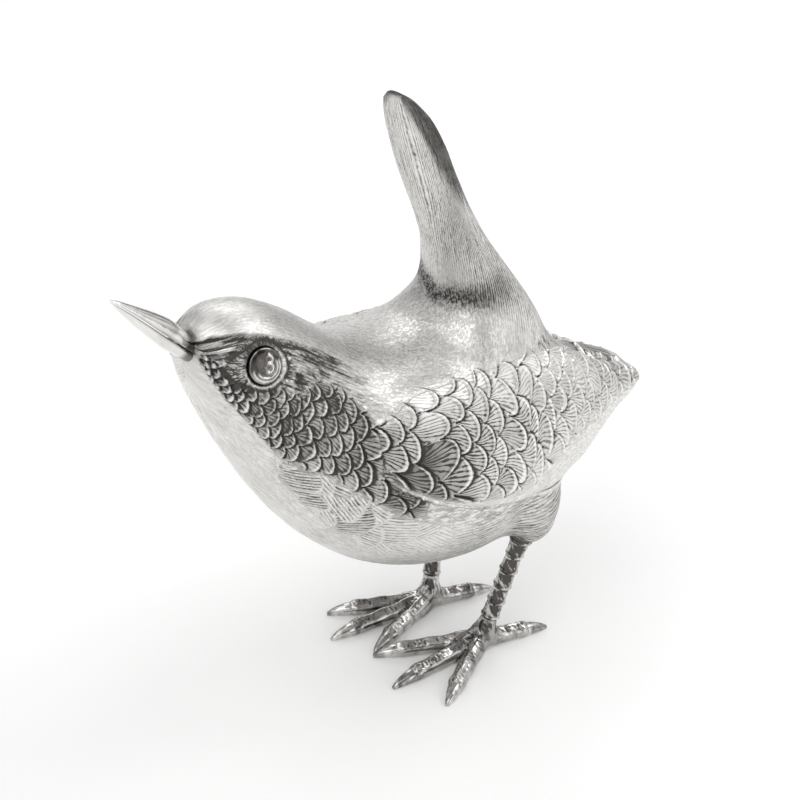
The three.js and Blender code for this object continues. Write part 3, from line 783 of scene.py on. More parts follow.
    def cut_eye(self):
        """The socket, the raised lid, its pointed corners and the dimple of the ear."""
        left = unsided(self.points)
        away = left - EYE_CENTRE
        forward = away[:, 1] * -0.86 + away[:, 2] * 0.30
        upward = away[:, 2] * 0.86 + away[:, 1] * 0.30
        r = np.linalg.norm(away, axis=1)
        turn = np.arctan2(upward, forward)
        front_corner = 0.55 * np.maximum(0, np.cos(turn + 0.25)) ** 7
        ring = r / (1 + front_corner + 0.12 * np.maximum(0, -np.cos(turn)) ** 6)
        near = rise(3.6, 2.9, ring)
        self.height *= 1 - 0.8 * rise(3.4, 2.7, ring)
        lid_height = 0.02 + 0.14 * rise(0.5, -0.5, np.cos(turn - 1.0))
        self.height += lid_height * bump_at(ring, 2.32, 0.14) - 0.6 * rise(2.2, 1.9, r)
        self.height -= 0.10 * bump_at(ring, 2.8, 0.2)
        self.barb *= 1 - near
        lid = rise(2.85, 2.6, ring)
        self.lie = np.where((near > 0.4)[:, None], np.stack([r, turn * 3.0], 1), self.lie)
        self.tone = self.tone * (1 - lid) + 0.45 * lid
        self.dark = self.dark * (1 - lid) + 0.9 * bump_at(r, 2.10, 0.12) + 0.5 * bump_at(ring, 2.75, 0.22)
        front = rise(0.3, 0.9, np.cos(turn + 0.25)) * rise(2.3, 2.6, r) * rise(4.4, 3.6, r)
        # Painted shade from the brow: the skin above the eye and the upper front of the lid are darkened.
        above = rise(0.1, 0.8, np.sin(turn)) * rise(2.2, 2.5, r) * rise(3.4, 2.9, r)
        shadow = rise(-0.3, 0.5, np.cos(turn - 1.0)) * bump_at(r, 2.32, 0.26)
        self.dark += 0.4 * front + 0.35 * above + 0.6 * shadow
        self.tone += 0.4 * front
        ear = np.linalg.norm(left - EAR_CENTRE, axis=1)
        dimple = bump_at(ear, 0, 0.75)
        self.height += 0.16 * bump_at(ear, 1.35, 0.35) - 0.42 * dimple
        self.dark += 0.7 * dimple


def set_uv(mesh, name, per_loop):
    """A flat map with one place for each face corner."""
    layer = mesh.uv_layers.new(name=name)
    layer.data.foreach_set("uv", np.ascontiguousarray(per_loop, dtype=np.float32).ravel())


def new_piece(name, points, faces, finish, replaced, layers, normals=None):
    """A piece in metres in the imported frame, riding on the bird. Layers are numbers for its material."""
    mesh = bpy.data.meshes.new(name)
    mesh.from_pydata(((points + ROW_SHIFT) * MM).tolist(), [], faces)
    mesh.polygons.foreach_set("use_smooth", [True] * len(mesh.polygons))
    for layer_name, values in layers.items():
        layer = mesh.attributes.new(layer_name, "FLOAT", "POINT")
        layer.data.foreach_set("value", np.ascontiguousarray(values, dtype=np.float32))
    if normals is not None:
        mesh.normals_split_custom_set_from_vertices(normals.tolist())
    mesh.materials.append(finish)
    piece = bpy.data.objects.new(name, mesh)
    bpy.context.scene.collection.objects.link(piece)
    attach(piece, "root")
    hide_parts(*replaced)
    return piece


class Nodes:
    """Short ways to add shader nodes to a material or world."""

    def __init__(self, tree):
        self.tree = tree
        tree.nodes.clear()

    def set(self, socket, value):
        """Links a socket to another one, or gives it a value of its own."""
        if isinstance(value, bpy.types.NodeSocket):
            self.tree.links.new(value, socket)
        else:
            socket.default_value = value

    def add(self, kind, sockets=None, **settings):
        """A node with its settings and sockets."""
        node = self.tree.nodes.new(kind)
        for key, value in settings.items():
            setattr(node, key, value)
        for key, value in (sockets or {}).items():
            self.set(node.inputs[key], value)
        return node

    def math(self, operation, first, second=0.0, clamp=False):
        """A sum, product or other operation on two numbers."""
        node = self.add("ShaderNodeMath", {0: first, 1: second}, operation=operation, use_clamp=clamp)
        return node.outputs[0]

    def spread(self, value, low, high, to_low, to_high):
        """A number moved from one range to another."""
        sockets = {"Value": value, "From Min": low, "From Max": high, "To Min": to_low, "To Max": to_high}
        return self.add("ShaderNodeMapRange", sockets).outputs[0]

    def blend(self, share, first, second):
        """A colour between two others."""
        node = self.add("ShaderNodeMix", data_type="RGBA")
        for index, value in ((0, share), (6, first), (7, second)):
            self.set(node.inputs[index], value)
        return node.outputs[2]

    def stretched(self, vector, scale, slant=None):
        """Coordinates turned by a slant in radians and then scaled."""
        if slant is not None:
            turned = {"Vector": vector, "Rotation": (0.0, 0.0, slant)}
            vector = self.add("ShaderNodeMapping", turned).outputs[0]
        return self.add("ShaderNodeMapping", {"Vector": vector, "Scale": scale}).outputs[0]

    def noise(self, vector, scale, detail, roughness=0.5, distortion=0.0, **settings):
        """Cloudy grain between 0 and 1."""
        sockets = {"Vector": vector, "Scale": scale, "Detail": detail, "Roughness": roughness,
                   "Distortion": distortion}
        return self.add("ShaderNodeTexNoise", sockets, **settings).outputs[0]

    def place(self):
        """Coordinates in the object's own metres."""
        return self.add("ShaderNodeTexCoord").outputs["Object"]

    def number(self, name):
        """A number kept with the mesh."""
        return self.add("ShaderNodeAttribute", attribute_name=name).outputs["Fac"]

    def silver(self, finish, darkening, roughness, height, strength):
        """Bumped silver that turns to the tarnish colour where it is darkened, by tarnish and by painted
        shade.
        """
        colour = self.blend(darkening, (*finish.silver, 1), (*finish.tarnish, 1))
        bump = self.add("ShaderNodeBump", {"Height": height, "Strength": strength, "Distance": BUMP_DEPTH})
        shader = self.add("ShaderNodeBsdfPrincipled", {
            "Base Color": colour, "Metallic": 1.0, "Roughness": roughness, "Normal": bump.outputs[0],
        })
        self.add("ShaderNodeOutputMaterial", {"Surface": shader.outputs[0]})


def new_material(name):
    """An empty material and its nodes."""
    material = bpy.data.materials.new(name)
    material.use_nodes = True
    return material, Nodes(material.node_tree)


def satin_silver(finish):
    """Satin cast silver with fine cuts that hold dark tarnish."""
    material, n = new_material("satin_silver")
    dark, tone, barb = n.number("dark"), n.number("tone"), n.number("barb")
    lie = n.add("ShaderNodeUVMap", uv_map="Lie").outputs[0]
    place = n.place()
    straight, left, right = (
        n.noise(n.stretched(lie, scale, slant), 1.0, 2.0, 0.55, 0.4, noise_dimensions="2D")
        for scale, slant in STROKE_LAYERS)
    crossing = n.math("MAXIMUM", *(n.spread(layer, 0.37, 0.43, 0.85, 0.0) for layer in (left, right)))
    strokes = n.math("MAXIMUM", n.spread(straight, 0.42, 0.49, 1.0, 0.0), crossing)
    sideways = n.add("ShaderNodeSeparateXYZ", {"Vector": lie}).outputs[1]
    waver = n.math("MULTIPLY", straight, 5.0)
    phase = n.math("ADD", n.math("MULTIPLY", sideways, TAU / finish.barb_spacing), waver)
    barbs = n.spread(n.math("SINE", phase), 0.1, 0.75, 0.0, 1.0)
    barbs = n.math("MULTIPLY", barbs, n.spread(left, 0.36, 0.5, 0.35, 1.0))
    lines = n.math("ADD", n.math("MULTIPLY", strokes, n.math("SUBTRACT", 1.0, barb)),
                   n.math("MULTIPLY", barbs, barb))
    grain = n.noise(place, GRAIN_SCALE, 2.0, 0.6)
    cut = n.math("MULTIPLY", lines, tone)
    worn = n.spread(n.noise(place, WORN_SCALE, 3.0, 0.55), 0.3, 0.7, 0.75, 1.15)
    # The dark layer is tarnish in most places, and painted shade on the belly, crown, brow and round the
    # eyes.
    darkening = n.math("MULTIPLY", n.math("ADD", dark, n.math("MULTIPLY", cut, finish.stroke_stain)), worn, True)
    roughness = n.math("ADD", n.spread(darkening, 0.0, 1.0, finish.satin, finish.satin + 0.2),
                       n.spread(grain, 0.3, 0.7, -0.05, 0.05))
    height = n.math("SUBTRACT", n.math("MULTIPLY", grain, finish.grain_height), cut)
    n.silver(finish, darkening, roughness, height, finish.cut_strength)
    return material


def polished_silver(finish, name):
    """Brighter silver, burnished with fine scratches and darker in its hollows."""
    scratch_scale, patch = POLISHES[name]
    material, n = new_material(name)
    place = n.place()
    scratch = n.noise(n.stretched(place, scratch_scale), 1.0, 3.0, 0.6)
    patches = n.spread(n.noise(place, PATCH_SCALE, 3.0, 0.65, 0.6), 0.5, 0.62, 0.0, patch)
    # The dark layer is tarnish, with painted shade on the eye's upper front and a painted dark reflection on
    # the shanks.
    darkening = n.math("ADD", n.number("dark"), n.spread(scratch, 0.35, 0.75, 0.12, 0.0))
    darkening = n.math("ADD", darkening, patches, True)
    roughness = n.spread(scratch, 0.3, 0.7, finish.polish + 0.08, finish.polish - 0.03)
    height = n.math("ADD", scratch, n.math("MULTIPLY", n.noise(place, PIT_SCALE, 2.0), 0.8))
    n.silver(finish, darkening, roughness, height, 0.35)
    return material


def body_wax(sizes):
    """The plain casting under the feathers, in millimetres, with its faces."""
    body_rows, body_sides = BODY_MESH
    wing_rows, wing_sides = WING_MESH
    body = closed_loft(body_rings(np.linspace(0, BODY_LAST, body_rows), full_turn(body_sides))[:, ::-1])
    wing = closed_loft(wing_rings(np.linspace(0, WING_LAST, wing_rows), full_turn(wing_sides)))
    thigh = tube(THIGH_STOPS, *THIGH_MESH)
    parts = [body, tube(RUMP_STOPS, *RUMP_MESH)]
    for side in SIDES.values():
        parts += [mirrored(wing, side), mirrored(thigh, side)]
    points, quads = remeshed(parts, sizes.voxel)
    edges = edges_of(quads)
    rim_places = np.concatenate([
        wing_rings(np.linspace(0, 6.6, 60), np.array([0.0]))[:, 0],
        wing_rings(np.linspace(0, 1.1, 10), np.array([math.pi]))[:, 0],
        wing_rings(np.array([0.0]), np.linspace(0, math.pi, 12))[0],
    ])
    left = unsided(points)
    nearest = np.full(len(points), np.inf)
    for place in rim_places:
        nearest = np.minimum(nearest, ((left - place) ** 2).sum(1))
    rim = rise(3.4, 1.2, np.sqrt(nearest))
    tip = WING_SECTIONS[-1, 0:3] - np.array([1.2, 0, 1.2])
    tip_near = np.linalg.norm(left - tip, axis=1)
    rim = np.maximum(rim, 0.35 * rise(4.5, 2.0, tip_near))
    thigh_near = np.linalg.norm(left - THIGH_STOPS[0, :3], axis=1)
    knee = 0.7 * rise(9.5, 7.5, thigh_near)
    points = relaxed(points, edges, 0.5, 4)
    return relaxed(points, edges, 0.5 * np.maximum(rim, knee), sizes.blend_rounds), quads


def skin_faces(relief, quads):
    """Which faces belong to each piece of the skin."""
    place = relief.place[quads].mean(1)
    angle = relief.angle[quads].mean(1)
    x = relief.points[quads, 0].mean(1)
    wing = relief.wing[quads].mean(1) > 0.5
    tail = ~wing & (place > TAIL_START)
    head = ~wing & (place < HEAD_END)
    rest = ~wing & ~tail & ~head
    return {
        "skin_head": head,
        "skin_back": rest & (angle >= 0),
        "skin_breast": rest & (angle < 0) & (place < BREAST_END),
        "skin_belly": rest & (angle < 0) & (place >= BREAST_END),
        "skin_tail": tail,
        "skin_wing_left": wing & (x > 0),
        "skin_wing_right": wing & (x <= 0),
    }


def bake_map(relief, quads, winged):
    """A flat map of the skin for baking, one place for each face corner."""
    if winged:
        flat = np.stack([relief.wing_place[quads] / 9 + 0.05, relief.wing_across[quads] * 0.8 + 0.1], 2)
    else:
        side = np.where(relief.points[quads, 0].mean(1) < 0, -1.0, 1.0)[:, None]
        turn = side * (1 - relief.angle[quads]) / 2
        flat = np.stack([relief.place[quads] / 24 + 0.03, 0.5 + turn * 0.46], 2)
    return flat.reshape(-1, 2)


class WrenSkinSizes(bpy.types.PropertyGroup):
    """Sizes of the feathered skin"""
    voxel: bpy.props.FloatProperty(
        name="Voxel", description="Cell of the casting before it is doubled, in millimetres",
        default=0.3, min=0.2, max=1.0)
    blend_rounds: bpy.props.IntProperty(
        name="Blend rounds", description="Smoothing where the wings and thighs run into the body",
        default=60, min=0, max=300)
    stroke_depth: bpy.props.FloatProperty(
        name="Stroke depth", description="Depth of the fine cuts, in millimetres",
        default=0.09, min=0, max=0.4)
    wing_row: bpy.props.FloatProperty(
        name="Wing row", description="Distance between rows of wing feathers, in millimetres",
        default=1.95, min=0.5, max=5.0)
    wing_lift: bpy.props.FloatProperty(
        name="Wing lift", description="Rise of a wing feather's free edge, in millimetres",
        default=0.30, min=0, max=1.0)


class WrenFinish(bpy.types.PropertyGroup):
    """Colours and polish of the silver"""
    silver: bpy.props.FloatVectorProperty(
        name="Silver", description="Colour of the clean metal", subtype="COLOR", size=3,
        default=(0.87, 0.855, 0.83), min=0, max=1)
    # The tarnish colour also paints the shade on the belly, crown, brow and eyes, and the dark reflection on
    # the shanks.
    tarnish: bpy.props.FloatVectorProperty(
        name="Tarnish", description="Colour of the metal in the cuts", subtype="COLOR", size=3,
        default=(0.09, 0.084, 0.078), min=0, max=1)
    satin: bpy.props.FloatProperty(
        name="Satin", description="Roughness of the feathered skin", subtype="FACTOR",
        default=0.33, min=0, max=1)
    polish: bpy.props.FloatProperty(
        name="Polish", description="Roughness of the bill, eyes and legs", subtype="FACTOR",
        default=0.16, min=0.04, max=1)
    barb_spacing: bpy.props.FloatProperty(
        name="Barb spacing", description="Distance between the lines on a feather, in millimetres",
        default=0.37, min=0.1, max=2)
    stroke_stain: bpy.props.FloatProperty(
        name="Stroke stain", description="Tarnish in the fine cuts", subtype="FACTOR",
        default=0.85, min=0, max=2)
    cut_strength: bpy.props.FloatProperty(
        name="Cut strength", description="How strongly the finest cuts catch the light", subtype="FACTOR",
        default=0.8, min=0, max=1)
    grain_height: bpy.props.FloatProperty(
        name="Grain height", description="Height of the satin grain beside that of the cuts",
        subtype="FACTOR", default=0.35, min=0, max=2)


class WrenLegSizes(bpy.types.PropertyGroup):
    """Sizes of the legs and feet"""
    voxel: bpy.props.FloatProperty(
        name="Voxel", description="Cell of the leg castings, in millimetres",
        default=0.12, min=0.08, max=0.5)
    shank_radius: bpy.props.FloatProperty(
        name="Shank radius", description="Radius of the shank between its rings, in millimetres",
        default=1.06, min=0.3, max=2)
    scutes: bpy.props.IntProperty(
        name="Scutes", description="Number of ringed scales on the shank", default=7, min=1, max=20)
    scute_step: bpy.props.FloatProperty(
        name="Scute step", description="How far each ringed scale stands out, in millimetres",
        default=0.17, min=0, max=1)


class WrenStageSizes(bpy.types.PropertyGroup):
    """Place of the camera and look of the floor"""
    azimuth: bpy.props.FloatProperty(
        name="Azimuth", description="Camera's turn round the bird", subtype="ANGLE",
        default=math.radians(52))
    elevation: bpy.props.FloatProperty(
        name="Elevation", description="Camera's height above the horizon", subtype="ANGLE",
        default=math.radians(31))
    distance: bpy.props.FloatProperty(
        name="Distance", description="Camera's distance from the bird", subtype="DISTANCE",
        default=0.3, min=0.05)
    lens: bpy.props.FloatProperty(
        name="Lens", description="Focal length in millimetres", default=117.45, min=10)
    paper: bpy.props.FloatVectorProperty(
        name="Paper", description="Colour of the floor", subtype="COLOR", size=3,
        default=(0.93, 0.93, 0.925))
    glow: bpy.props.FloatProperty(
        name="Glow", description="Light that the paper gives off, as on a light table", default=0.13, min=0)


class WREN_OT_skin(bpy.types.Operator):
    """Cast the feathered skin of head, body, tail, wings and thighs"""
    bl_idname = "wren.skin"
    bl_label = "Feathered skin"

    def execute(self, context):
        sizes = context.scene.wren_skin
        points, quads = body_wax(sizes)
        points, quads = reshaped(points, quads.tolist(), [("SUBSURF", {"levels": 1})])
        relief = Relief(points, sizes)
        cut = points + point_normals(points, quads) * relief.height[:, None]
        normals = point_normals(cut, quads)
        hollow = np.clip(hollows(cut, quads, normals, SKIN_HOLLOW) - HOLLOW_FLOOR, 0, 1)
        layers = {"dark": relief.dark + HOLLOW_STAIN * hollow, "tone": relief.tone, "barb": relief.barb}
        finish = satin_silver(context.scene.wren_finish)
        for name, chosen in skin_faces(relief, quads).items():
            own = quads[chosen]
            used, flat = np.unique(own, return_inverse=True)
            own_layers = {key: values[used] for key, values in layers.items()}
            piece = new_piece(name, cut[used], flat.reshape(-1, 4).tolist(), finish,
                              SKIN_PARTS[name], own_layers, normals[used])
            set_uv(piece.data, "OFBake", bake_map(relief, own, "wing" in name))
            set_uv(piece.data, "Lie", relief.lie[own].reshape(-1, 2))
        return {"FINISHED"}


def eye_frame(side):
    """The eye's centre on the body and its outward, forward and upward directions."""
    turn, step = EYE_ANGLE * math.pi / 2, 0.35
    steps = np.array([-step, 0, step])
    patch = body_rings(EYE_PLACE + steps, turn + steps)
    along = patch[2, 1] - patch[0, 1]
    around = patch[1, 2] - patch[1, 0]
    outward = unit(np.cross(around, along))
    outward *= math.copysign(1, outward[0])
    forward = np.array([0.0, -0.92, 0.38])
    forward = unit(forward - outward * forward.dot(outward))
    upward = np.cross(outward, forward)
    upward *= math.copysign(1, upward[2])
    mirror = np.array([side, 1, 1])
    return EYE_CENTRE * mirror, outward * mirror, forward * mirror, upward * mirror


class WREN_OT_eyes(bpy.types.Operator):
    """Set the engraved eyes in their sockets"""
    bl_idname = "wren.eyes"
    bl_label = "Eyes"

    def execute(self, context):
        finish = polished_silver(context.scene.wren_finish, "eye_silver")
        rows, sides = EYE_MESH
        r = np.linspace(0.02, 1, rows)[:, None] * EYE_RADIUS
        turn = full_turn(sides)[None]
        dome = 0.80 * (np.sqrt(np.clip(1 - (r / 2.2) ** 2, 0, 1)) - 0.45) + 0.02
        x, z = r * np.cos(turn), r * np.sin(turn)
        curls = [bump_at(np.hypot(x - ahead, z - up), radius, thick) * rise(reach, 0.0, x - ahead)
                 for ahead, up, radius, thick, reach in EYE_CURLS]
        crescents = [bump_at(r, radius, thick) * rise(low, high, np.cos(turn + lean))
                     for radius, thick, low, high, lean in EYE_CRESCENTS]
        bright = np.maximum.reduce(curls + crescents)
        height = dome + 0.14 * bright - 0.9 * rise(1.93, EYE_RADIUS, r)
        # Painted shade: the eye is darker towards its upper front, under the brow.
        upper_front_shade = rise(-0.5, 0.5, (np.cos(turn) * 0.8 + np.sin(turn) * 0.6) * r / EYE_RADIUS)
        dark = (0.74 + 0.2 * upper_front_shade) * (1 - bright) * rise(1.98, 1.8, r) + rise(1.86, 2.0, r)
        dark = np.concatenate([np.clip(dark, 0, 1).ravel(), [0.0, 1.0]])
        for side_name, side in SIDES.items():
            centre, outward, forward, upward = eye_frame(side)
            points, faces = closed_loft(
                centre + x[..., None] * forward + z[..., None] * upward + height[..., None] * outward)
            name = f"eye_{side_name}"
            new_piece(name, points, flipped(faces) if side > 0 else faces, finish, [name],
                      {"dark": dark})
        return {"FINISHED"}


class WREN_OT_bill(bpy.types.Operator):
    """Shape the polished bill in its two halves"""
    bl_idname = "wren.bill"
    bl_label = "Bill"

    def execute(self, context):
        finish = polished_silver(context.scene.wren_finish, "bill_silver")
        places = np.linspace(BILL_ROOT, len(BILL_STOPS) - 1, BILL_ROWS)
        stops = along_curve(BILL_STOPS, places)
        culmen, gape, gonys, half = stops[:, 0:2], stops[:, 2:4], stops[:, 4:6], stops[:, 6]
        arch = np.linspace(0, math.pi, BILL_ARCH)
        floor = np.linspace(-1, 1, BILL_FLOOR)[1:-1]
        share_up = np.concatenate([np.sin(arch) ** 0.85, 0 * floor])
        share_x = np.concatenate([np.cos(arch), floor])
        from_edge = np.concatenate([np.minimum(arch, math.pi - arch), 0 * floor])
        taper = np.clip(1 - rise(2.7, 3.0, places) * 0.55 - rise(0.8, -0.2, places) * 0.26, 0.2, 1)
        dark = 0.55 * bump_at(from_edge, 0, 0.12)[None] + 0.8 * rise(0.28, 0.05, places)[:, None]
        dark = np.concatenate([np.clip(dark, 0, 1).ravel(), [0.0, 0.0]])
        seam = np.array([0, BILL_SEAM])
        for name, flat, crest in (("bill_upper", gape + seam, culmen), ("bill_lower", gape - seam, gonys)):
            yz = flat[:, None] + (crest - flat)[:, None] * share_up[None, :, None] * taper[:, None, None]
            x = (half * taper)[:, None] * share_x[None]
            points, faces = closed_loft(np.concatenate([x[..., None], yz], 2))
            new_piece(name, points, flipped(faces) if name == "bill_upper" else faces, finish,
                      [name], {"dark": dark})
        return {"FINISHED"}


def heading_axes(heading):
    """Directions ahead and across on the floor for a heading in degrees."""
    turn = math.radians(heading)
    return np.array([math.sin(turn), -math.cos(turn), 0]), np.array([math.cos(turn), math.sin(turn), 0])


def floor_loft(stops, start, reach, heading, density, swelling=0):
    """A toe, claw or palm lying on the floor. Swelling is how much its pads stand out.

    Density is its rows and sides. Without swelling it has no ridge either.
    """
    rows, sides = density
    ahead, across = heading_axes(heading)
    share = np.linspace(0, 1, rows)
    half = np.interp(share, stops[:, 0], stops[:, 1])
    height = np.interp(share, stops[:, 0], stops[:, 2])
    swell = 1 + swelling * np.cos(share * TAU * 3.2 + 0.6)
    angle = full_turn(sides)
    lift = height[:, None] / 2 * (1 + np.sin(angle)[None]) * swell[:, None] - PAD_SINK
    ridge = 0.30 * bump_at(angle, math.pi / 2, 0.24) if swelling else 0
    points = (start + ahead * (reach * share)[:, None, None]
              + across * (half * swell)[:, None, None] * np.cos(angle)[None, :, None])
    points[..., 2] = np.maximum(0, lift + ridge)
    return closed_loft(points)


def shank_and_ankle(sizes):
    """The left shank with its rings, and the round ankle under it."""
    shank_rows, shank_sides = SHANK_MESH
    ankle_rows, ankle_sides = ANKLE_MESH
    share = np.linspace(0, 1, shank_rows)
    centres = SHANK_TOP + (SHANK_FOOT - SHANK_TOP) * share[:, None]
    part = (share * sizes.scutes) % 1
    scute = 0.5 * part + bump_at(part, 0.93, 0.06)
    flare = 0.45 * rise(0.28, 0.05, share) + 0.35 * rise(0.88, 1.0, share)
    radii = sizes.shank_radius + sizes.scute_step * (scute - 0.35) + flare
    turn = np.linspace(0.04, math.pi - 0.04, ankle_rows)
    ball = np.stack([0 * turn, 0 * turn, ANKLE_RADIUS * np.cos(turn)], 1)
    ball += np.array([*FOOT_PLACE, 0.2 + ANKLE_RADIUS])
    shank = closed_loft(tube_rings(centres, radii, shank_sides))
    return shank, closed_loft(tube_rings(ball, ANKLE_RADIUS * np.sin(turn), ankle_sides))


def leg_tarnish(points, quads, sizes):
    """The points of a leg with its rough skin, and how dark each of them is, with a painted dark reflection
    on the flats of the shank.
    """
    x, y, z = points.T
    normals = point_normals(points, quads)
    toe_top = rise(0.55, 0.85, normals[:, 2]) * rise(3.0, 2.4, z)
    speckle = mottle((x + 0.6 * y) / 0.26 + z / 0.4, (y - 0.6 * x) / 0.26, 61)
    grain = 0.5 + 0.5 * mottle(x / 0.7 + z / 1.1, y / 0.9, 63)
    ringed = rise(2.6, 3.6, z)
    part = (SHANK_TOP[2] - z) / (SHANK_TOP[2] - SHANK_FOOT[2]) * sizes.scutes % 1
    panel = rise(0.02, 0.14, part) * rise(1.0, 0.84, part)
    points = points + normals * (0.03 * speckle * (toe_top + ringed))[:, None]
    points[:, 2] = np.maximum(points[:, 2], 0)
    normals = point_normals(points, quads)
    hollow = hollows(points, quads, normals, LEG_HOLLOW)
    # Painted dark reflection: the flats between the shank's rings on the side that faces the camera are
    # darkened.
    front = rise(0.45, 0.9, 0.65 * normals[:, 0] - 0.75 * normals[:, 1]) * ringed
    sole = grain * (1 - ringed) * (1 - toe_top)
    under = 0.26 + 0.28 * sole + 1.2 * front * panel * rise(-0.75, 0.15, speckle)
    under = (under + 0.25 * toe_top * rise(0.1, 0.6, -speckle)) * (1 - 0.8 * rise(0.9, 1.7, -hollow))
    return points, under + np.clip(0.8 * hollow, 0, 0.9)


class WREN_OT_legs(bpy.types.Operator):
    """Cast each shank with its foot and toes, and set the claws"""
    bl_idname = "wren.legs"
    bl_label = "Legs and feet"

    def execute(self, context):
        sizes = context.scene.wren_legs
        finish = polished_silver(context.scene.wren_finish, "leg_silver")
        for side_name, side in SIDES.items():
            foot = np.array([FOOT_PLACE[0] * side, FOOT_PLACE[1], 0])
            toes = TOES[side_name]
            parts = [mirrored(part, side) for part in shank_and_ankle(sizes)]
            parts.append(floor_loft(PALM_STOPS, foot, PALM_LENGTH, 0, PALM_MESH))
            parts += [floor_loft(TOE_STOPS, foot, length - CLAW_LENGTH, heading, TOE_MESH, TOE_SWELLING)
                      for length, heading in toes.values()]
            points, quads = remeshed(parts, sizes.voxel)
            ankle = np.linalg.norm(points - (foot + np.array([0, 0, ANKLE_RADIUS])), axis=1)
            share = 0.5 * rise(4.6, 2.4, ankle) * rise(4.2, 3.0, points[:, 2]) + 0.001
            points = relaxed(points, edges_of(quads), share, 30)
            points[:, 2] = np.maximum(points[:, 2], 0)
            points, dark = leg_tarnish(points, quads, sizes)
            nodes = [f"shank_{side_name}", f"foot_{side_name}", *(f"toe_{side_name}_{toe}" for toe in toes)]
            new_piece(f"leg_{side_name}", points, quads.tolist(), finish, nodes,
                      {"dark": dark})
            for toe, (length, heading) in toes.items():
                start = foot + heading_axes(heading)[0] * (length - CLAW_LENGTH - CLAW_OVERLAP)
                claw, faces = floor_loft(CLAW_STOPS, start, CLAW_LENGTH + CLAW_OVERLAP, heading, CLAW_MESH)
                name = f"claw_{side_name}_{toe}"
                dark = 0.3 + 0.3 * mottle(claw[:, 0] / 0.5, claw[:, 1] / 0.5, 67)
                new_piece(name, claw, faces, finish, [name], {"dark": dark})
        return {"FINISHED"}


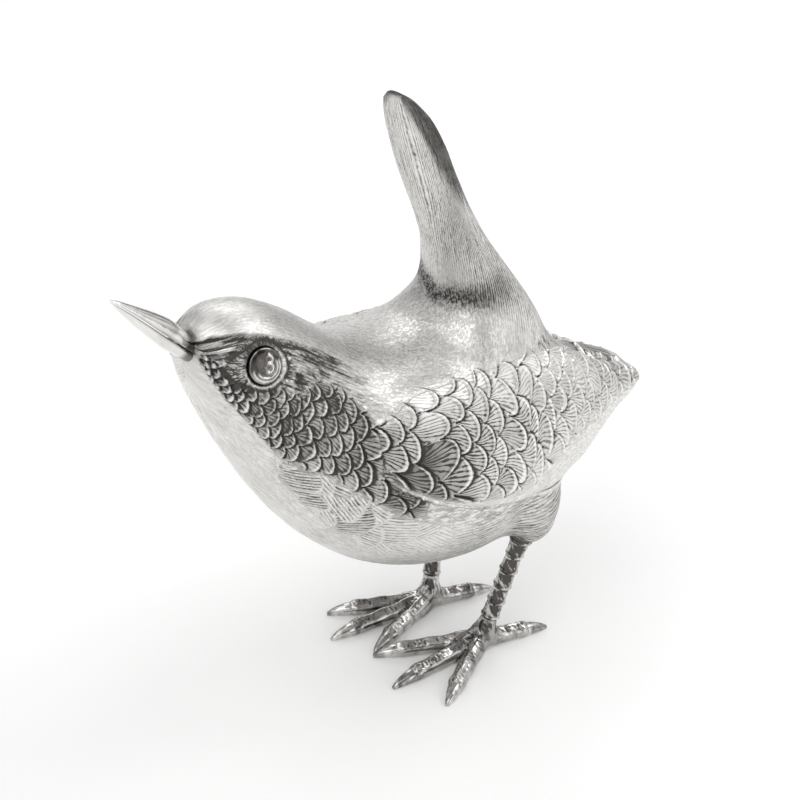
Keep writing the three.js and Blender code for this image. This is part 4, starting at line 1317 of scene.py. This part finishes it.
class WREN_OT_stage(bpy.types.Operator):
    """Set out the pale floor, the soft lights and the camera"""
    bl_idname = "wren.stage"
    bl_label = "Stage"

    def execute(self, context):
        sizes = context.scene.wren_stage
        context.scene.view_settings.view_transform = "Standard"
        self.lay_floor(context.scene, sizes)
        self.light_tent(context.scene)
        target = Vector(TARGET) + Vector((0, ROW_SHIFT[1] * MM, 0))
        for name, (place, size, power) in LAMPS.items():
            light = bpy.data.lights.new(name, "AREA")
            light.size = size
            light.energy = power
            self.aim(context.scene, name, light, target, Vector(place))
        level_reach = math.cos(sizes.elevation)
        back = Vector((math.sin(sizes.azimuth) * level_reach, -math.cos(sizes.azimuth) * level_reach,
                       math.sin(sizes.elevation)))
        lens = bpy.data.cameras.new("camera")
        lens.lens = sizes.lens
        lens.sensor_width = SENSOR_WIDTH
        lens.clip_start = NEAREST_SEEN
        context.scene.camera = self.aim(context.scene, "camera", lens, target, back * sizes.distance)
        return {"FINISHED"}

    def aim(self, scene, name, data, target, away):
        """A lamp or camera some way from the target, looking at it."""
        looker = bpy.data.objects.new(name, data)
        scene.collection.objects.link(looker)
        looker.location = target + away
        looker.rotation_euler = away.to_track_quat("Z", "Y").to_euler()
        return looker

    def lay_floor(self, scene, sizes):
        """A wide sheet of pale paper."""
        corners = [(x * FLOOR_REACH, y * FLOOR_REACH, 0) for x, y in ((-1, -1), (1, -1), (1, 1), (-1, 1))]
        mesh = bpy.data.meshes.new("floor")
        mesh.from_pydata(corners, [], [(0, 1, 2, 3)])
        floor = bpy.data.objects.new("floor", mesh)
        scene.collection.objects.link(floor)
        paper, n = new_material("pale_paper")
        fibre = n.noise(n.place(), FIBRE_SCALE, 2.0)
        colour = n.blend(fibre, (*sizes.paper, 1), FIBRE_COLOUR)
        shader = n.add("ShaderNodeBsdfPrincipled", {
            "Base Color": colour, "Roughness": 0.9, "Emission Color": (1.0, 1.0, 1.0, 1.0),
            "Emission Strength": sizes.glow})
        n.add("ShaderNodeOutputMaterial", {"Surface": shader.outputs[0]})
        mesh.materials.append(paper)

    def light_tent(self, scene):
        """White panels with darker gaps between them for the silver to reflect, on a pale backdrop."""
        world = bpy.data.worlds.new("light_tent")
        world.use_nodes = True
        scene.world = world
        n = Nodes(world.node_tree)
        look = n.add("ShaderNodeTexCoord").outputs["Generated"]
        level = n.spread(n.noise(look, PANEL_SCALE, 1.0), 0.38, 0.56, 0.0, 0.82)
        tent = n.blend(level, GAP_COLOUR, PANEL_COLOUR)
        seen = n.add("ShaderNodeLightPath").outputs["Is Camera Ray"]
        colour = n.blend(seen, tent, BACKDROP)
        background = n.add("ShaderNodeBackground", {"Color": colour, "Strength": 1.0})
        n.add("ShaderNodeOutputWorld", {"Surface": background.outputs[0]})


class WREN_PT_sidebar(bpy.types.Panel):
    """The wren's pieces and their settings"""
    bl_idname = "WREN_PT_sidebar"
    bl_label = "Silver wren"
    bl_space_type = "VIEW_3D"
    bl_region_type = "UI"
    bl_category = "Wren"

    def draw(self, context):
        for group, operators in PANEL_ROWS.items():
            box = self.layout.box()
            settings = getattr(context.scene, group)
            for name in settings.bl_rna.properties.keys():
                if name not in ("rna_type", "name"):
                    box.prop(settings, name)
            for operator in operators:
                box.operator(operator)


PANEL_ROWS = {
    "wren_skin": ["wren.skin"],
    "wren_finish": ["wren.eyes", "wren.bill"],
    "wren_legs": ["wren.legs"],
    "wren_stage": ["wren.stage"],
}
SETTINGS = {
    "wren_skin": WrenSkinSizes,
    "wren_finish": WrenFinish,
    "wren_legs": WrenLegSizes,
    "wren_stage": WrenStageSizes,
}
CLASSES = [*SETTINGS.values(), WREN_OT_skin, WREN_OT_eyes, WREN_OT_bill, WREN_OT_legs, WREN_OT_stage,
           WREN_PT_sidebar]


def register():
    """Adds the operators, the panel and their settings."""
    for each in CLASSES:
        bpy.utils.register_class(each)
    for name, group in SETTINGS.items():
        setattr(bpy.types.Scene, name, bpy.props.PointerProperty(type=group))


def unregister():
    """Takes them away again."""
    for name in SETTINGS:
        delattr(bpy.types.Scene, name)
    for each in reversed(CLASSES):
        bpy.utils.unregister_class(each)


def main():
    """Builds the stage and every piece."""
    register()
    bpy.ops.wren.stage()
    bpy.ops.wren.skin()
    bpy.ops.wren.eyes()
    bpy.ops.wren.bill()
    bpy.ops.wren.legs()


if __name__ == "__main__":
    main()
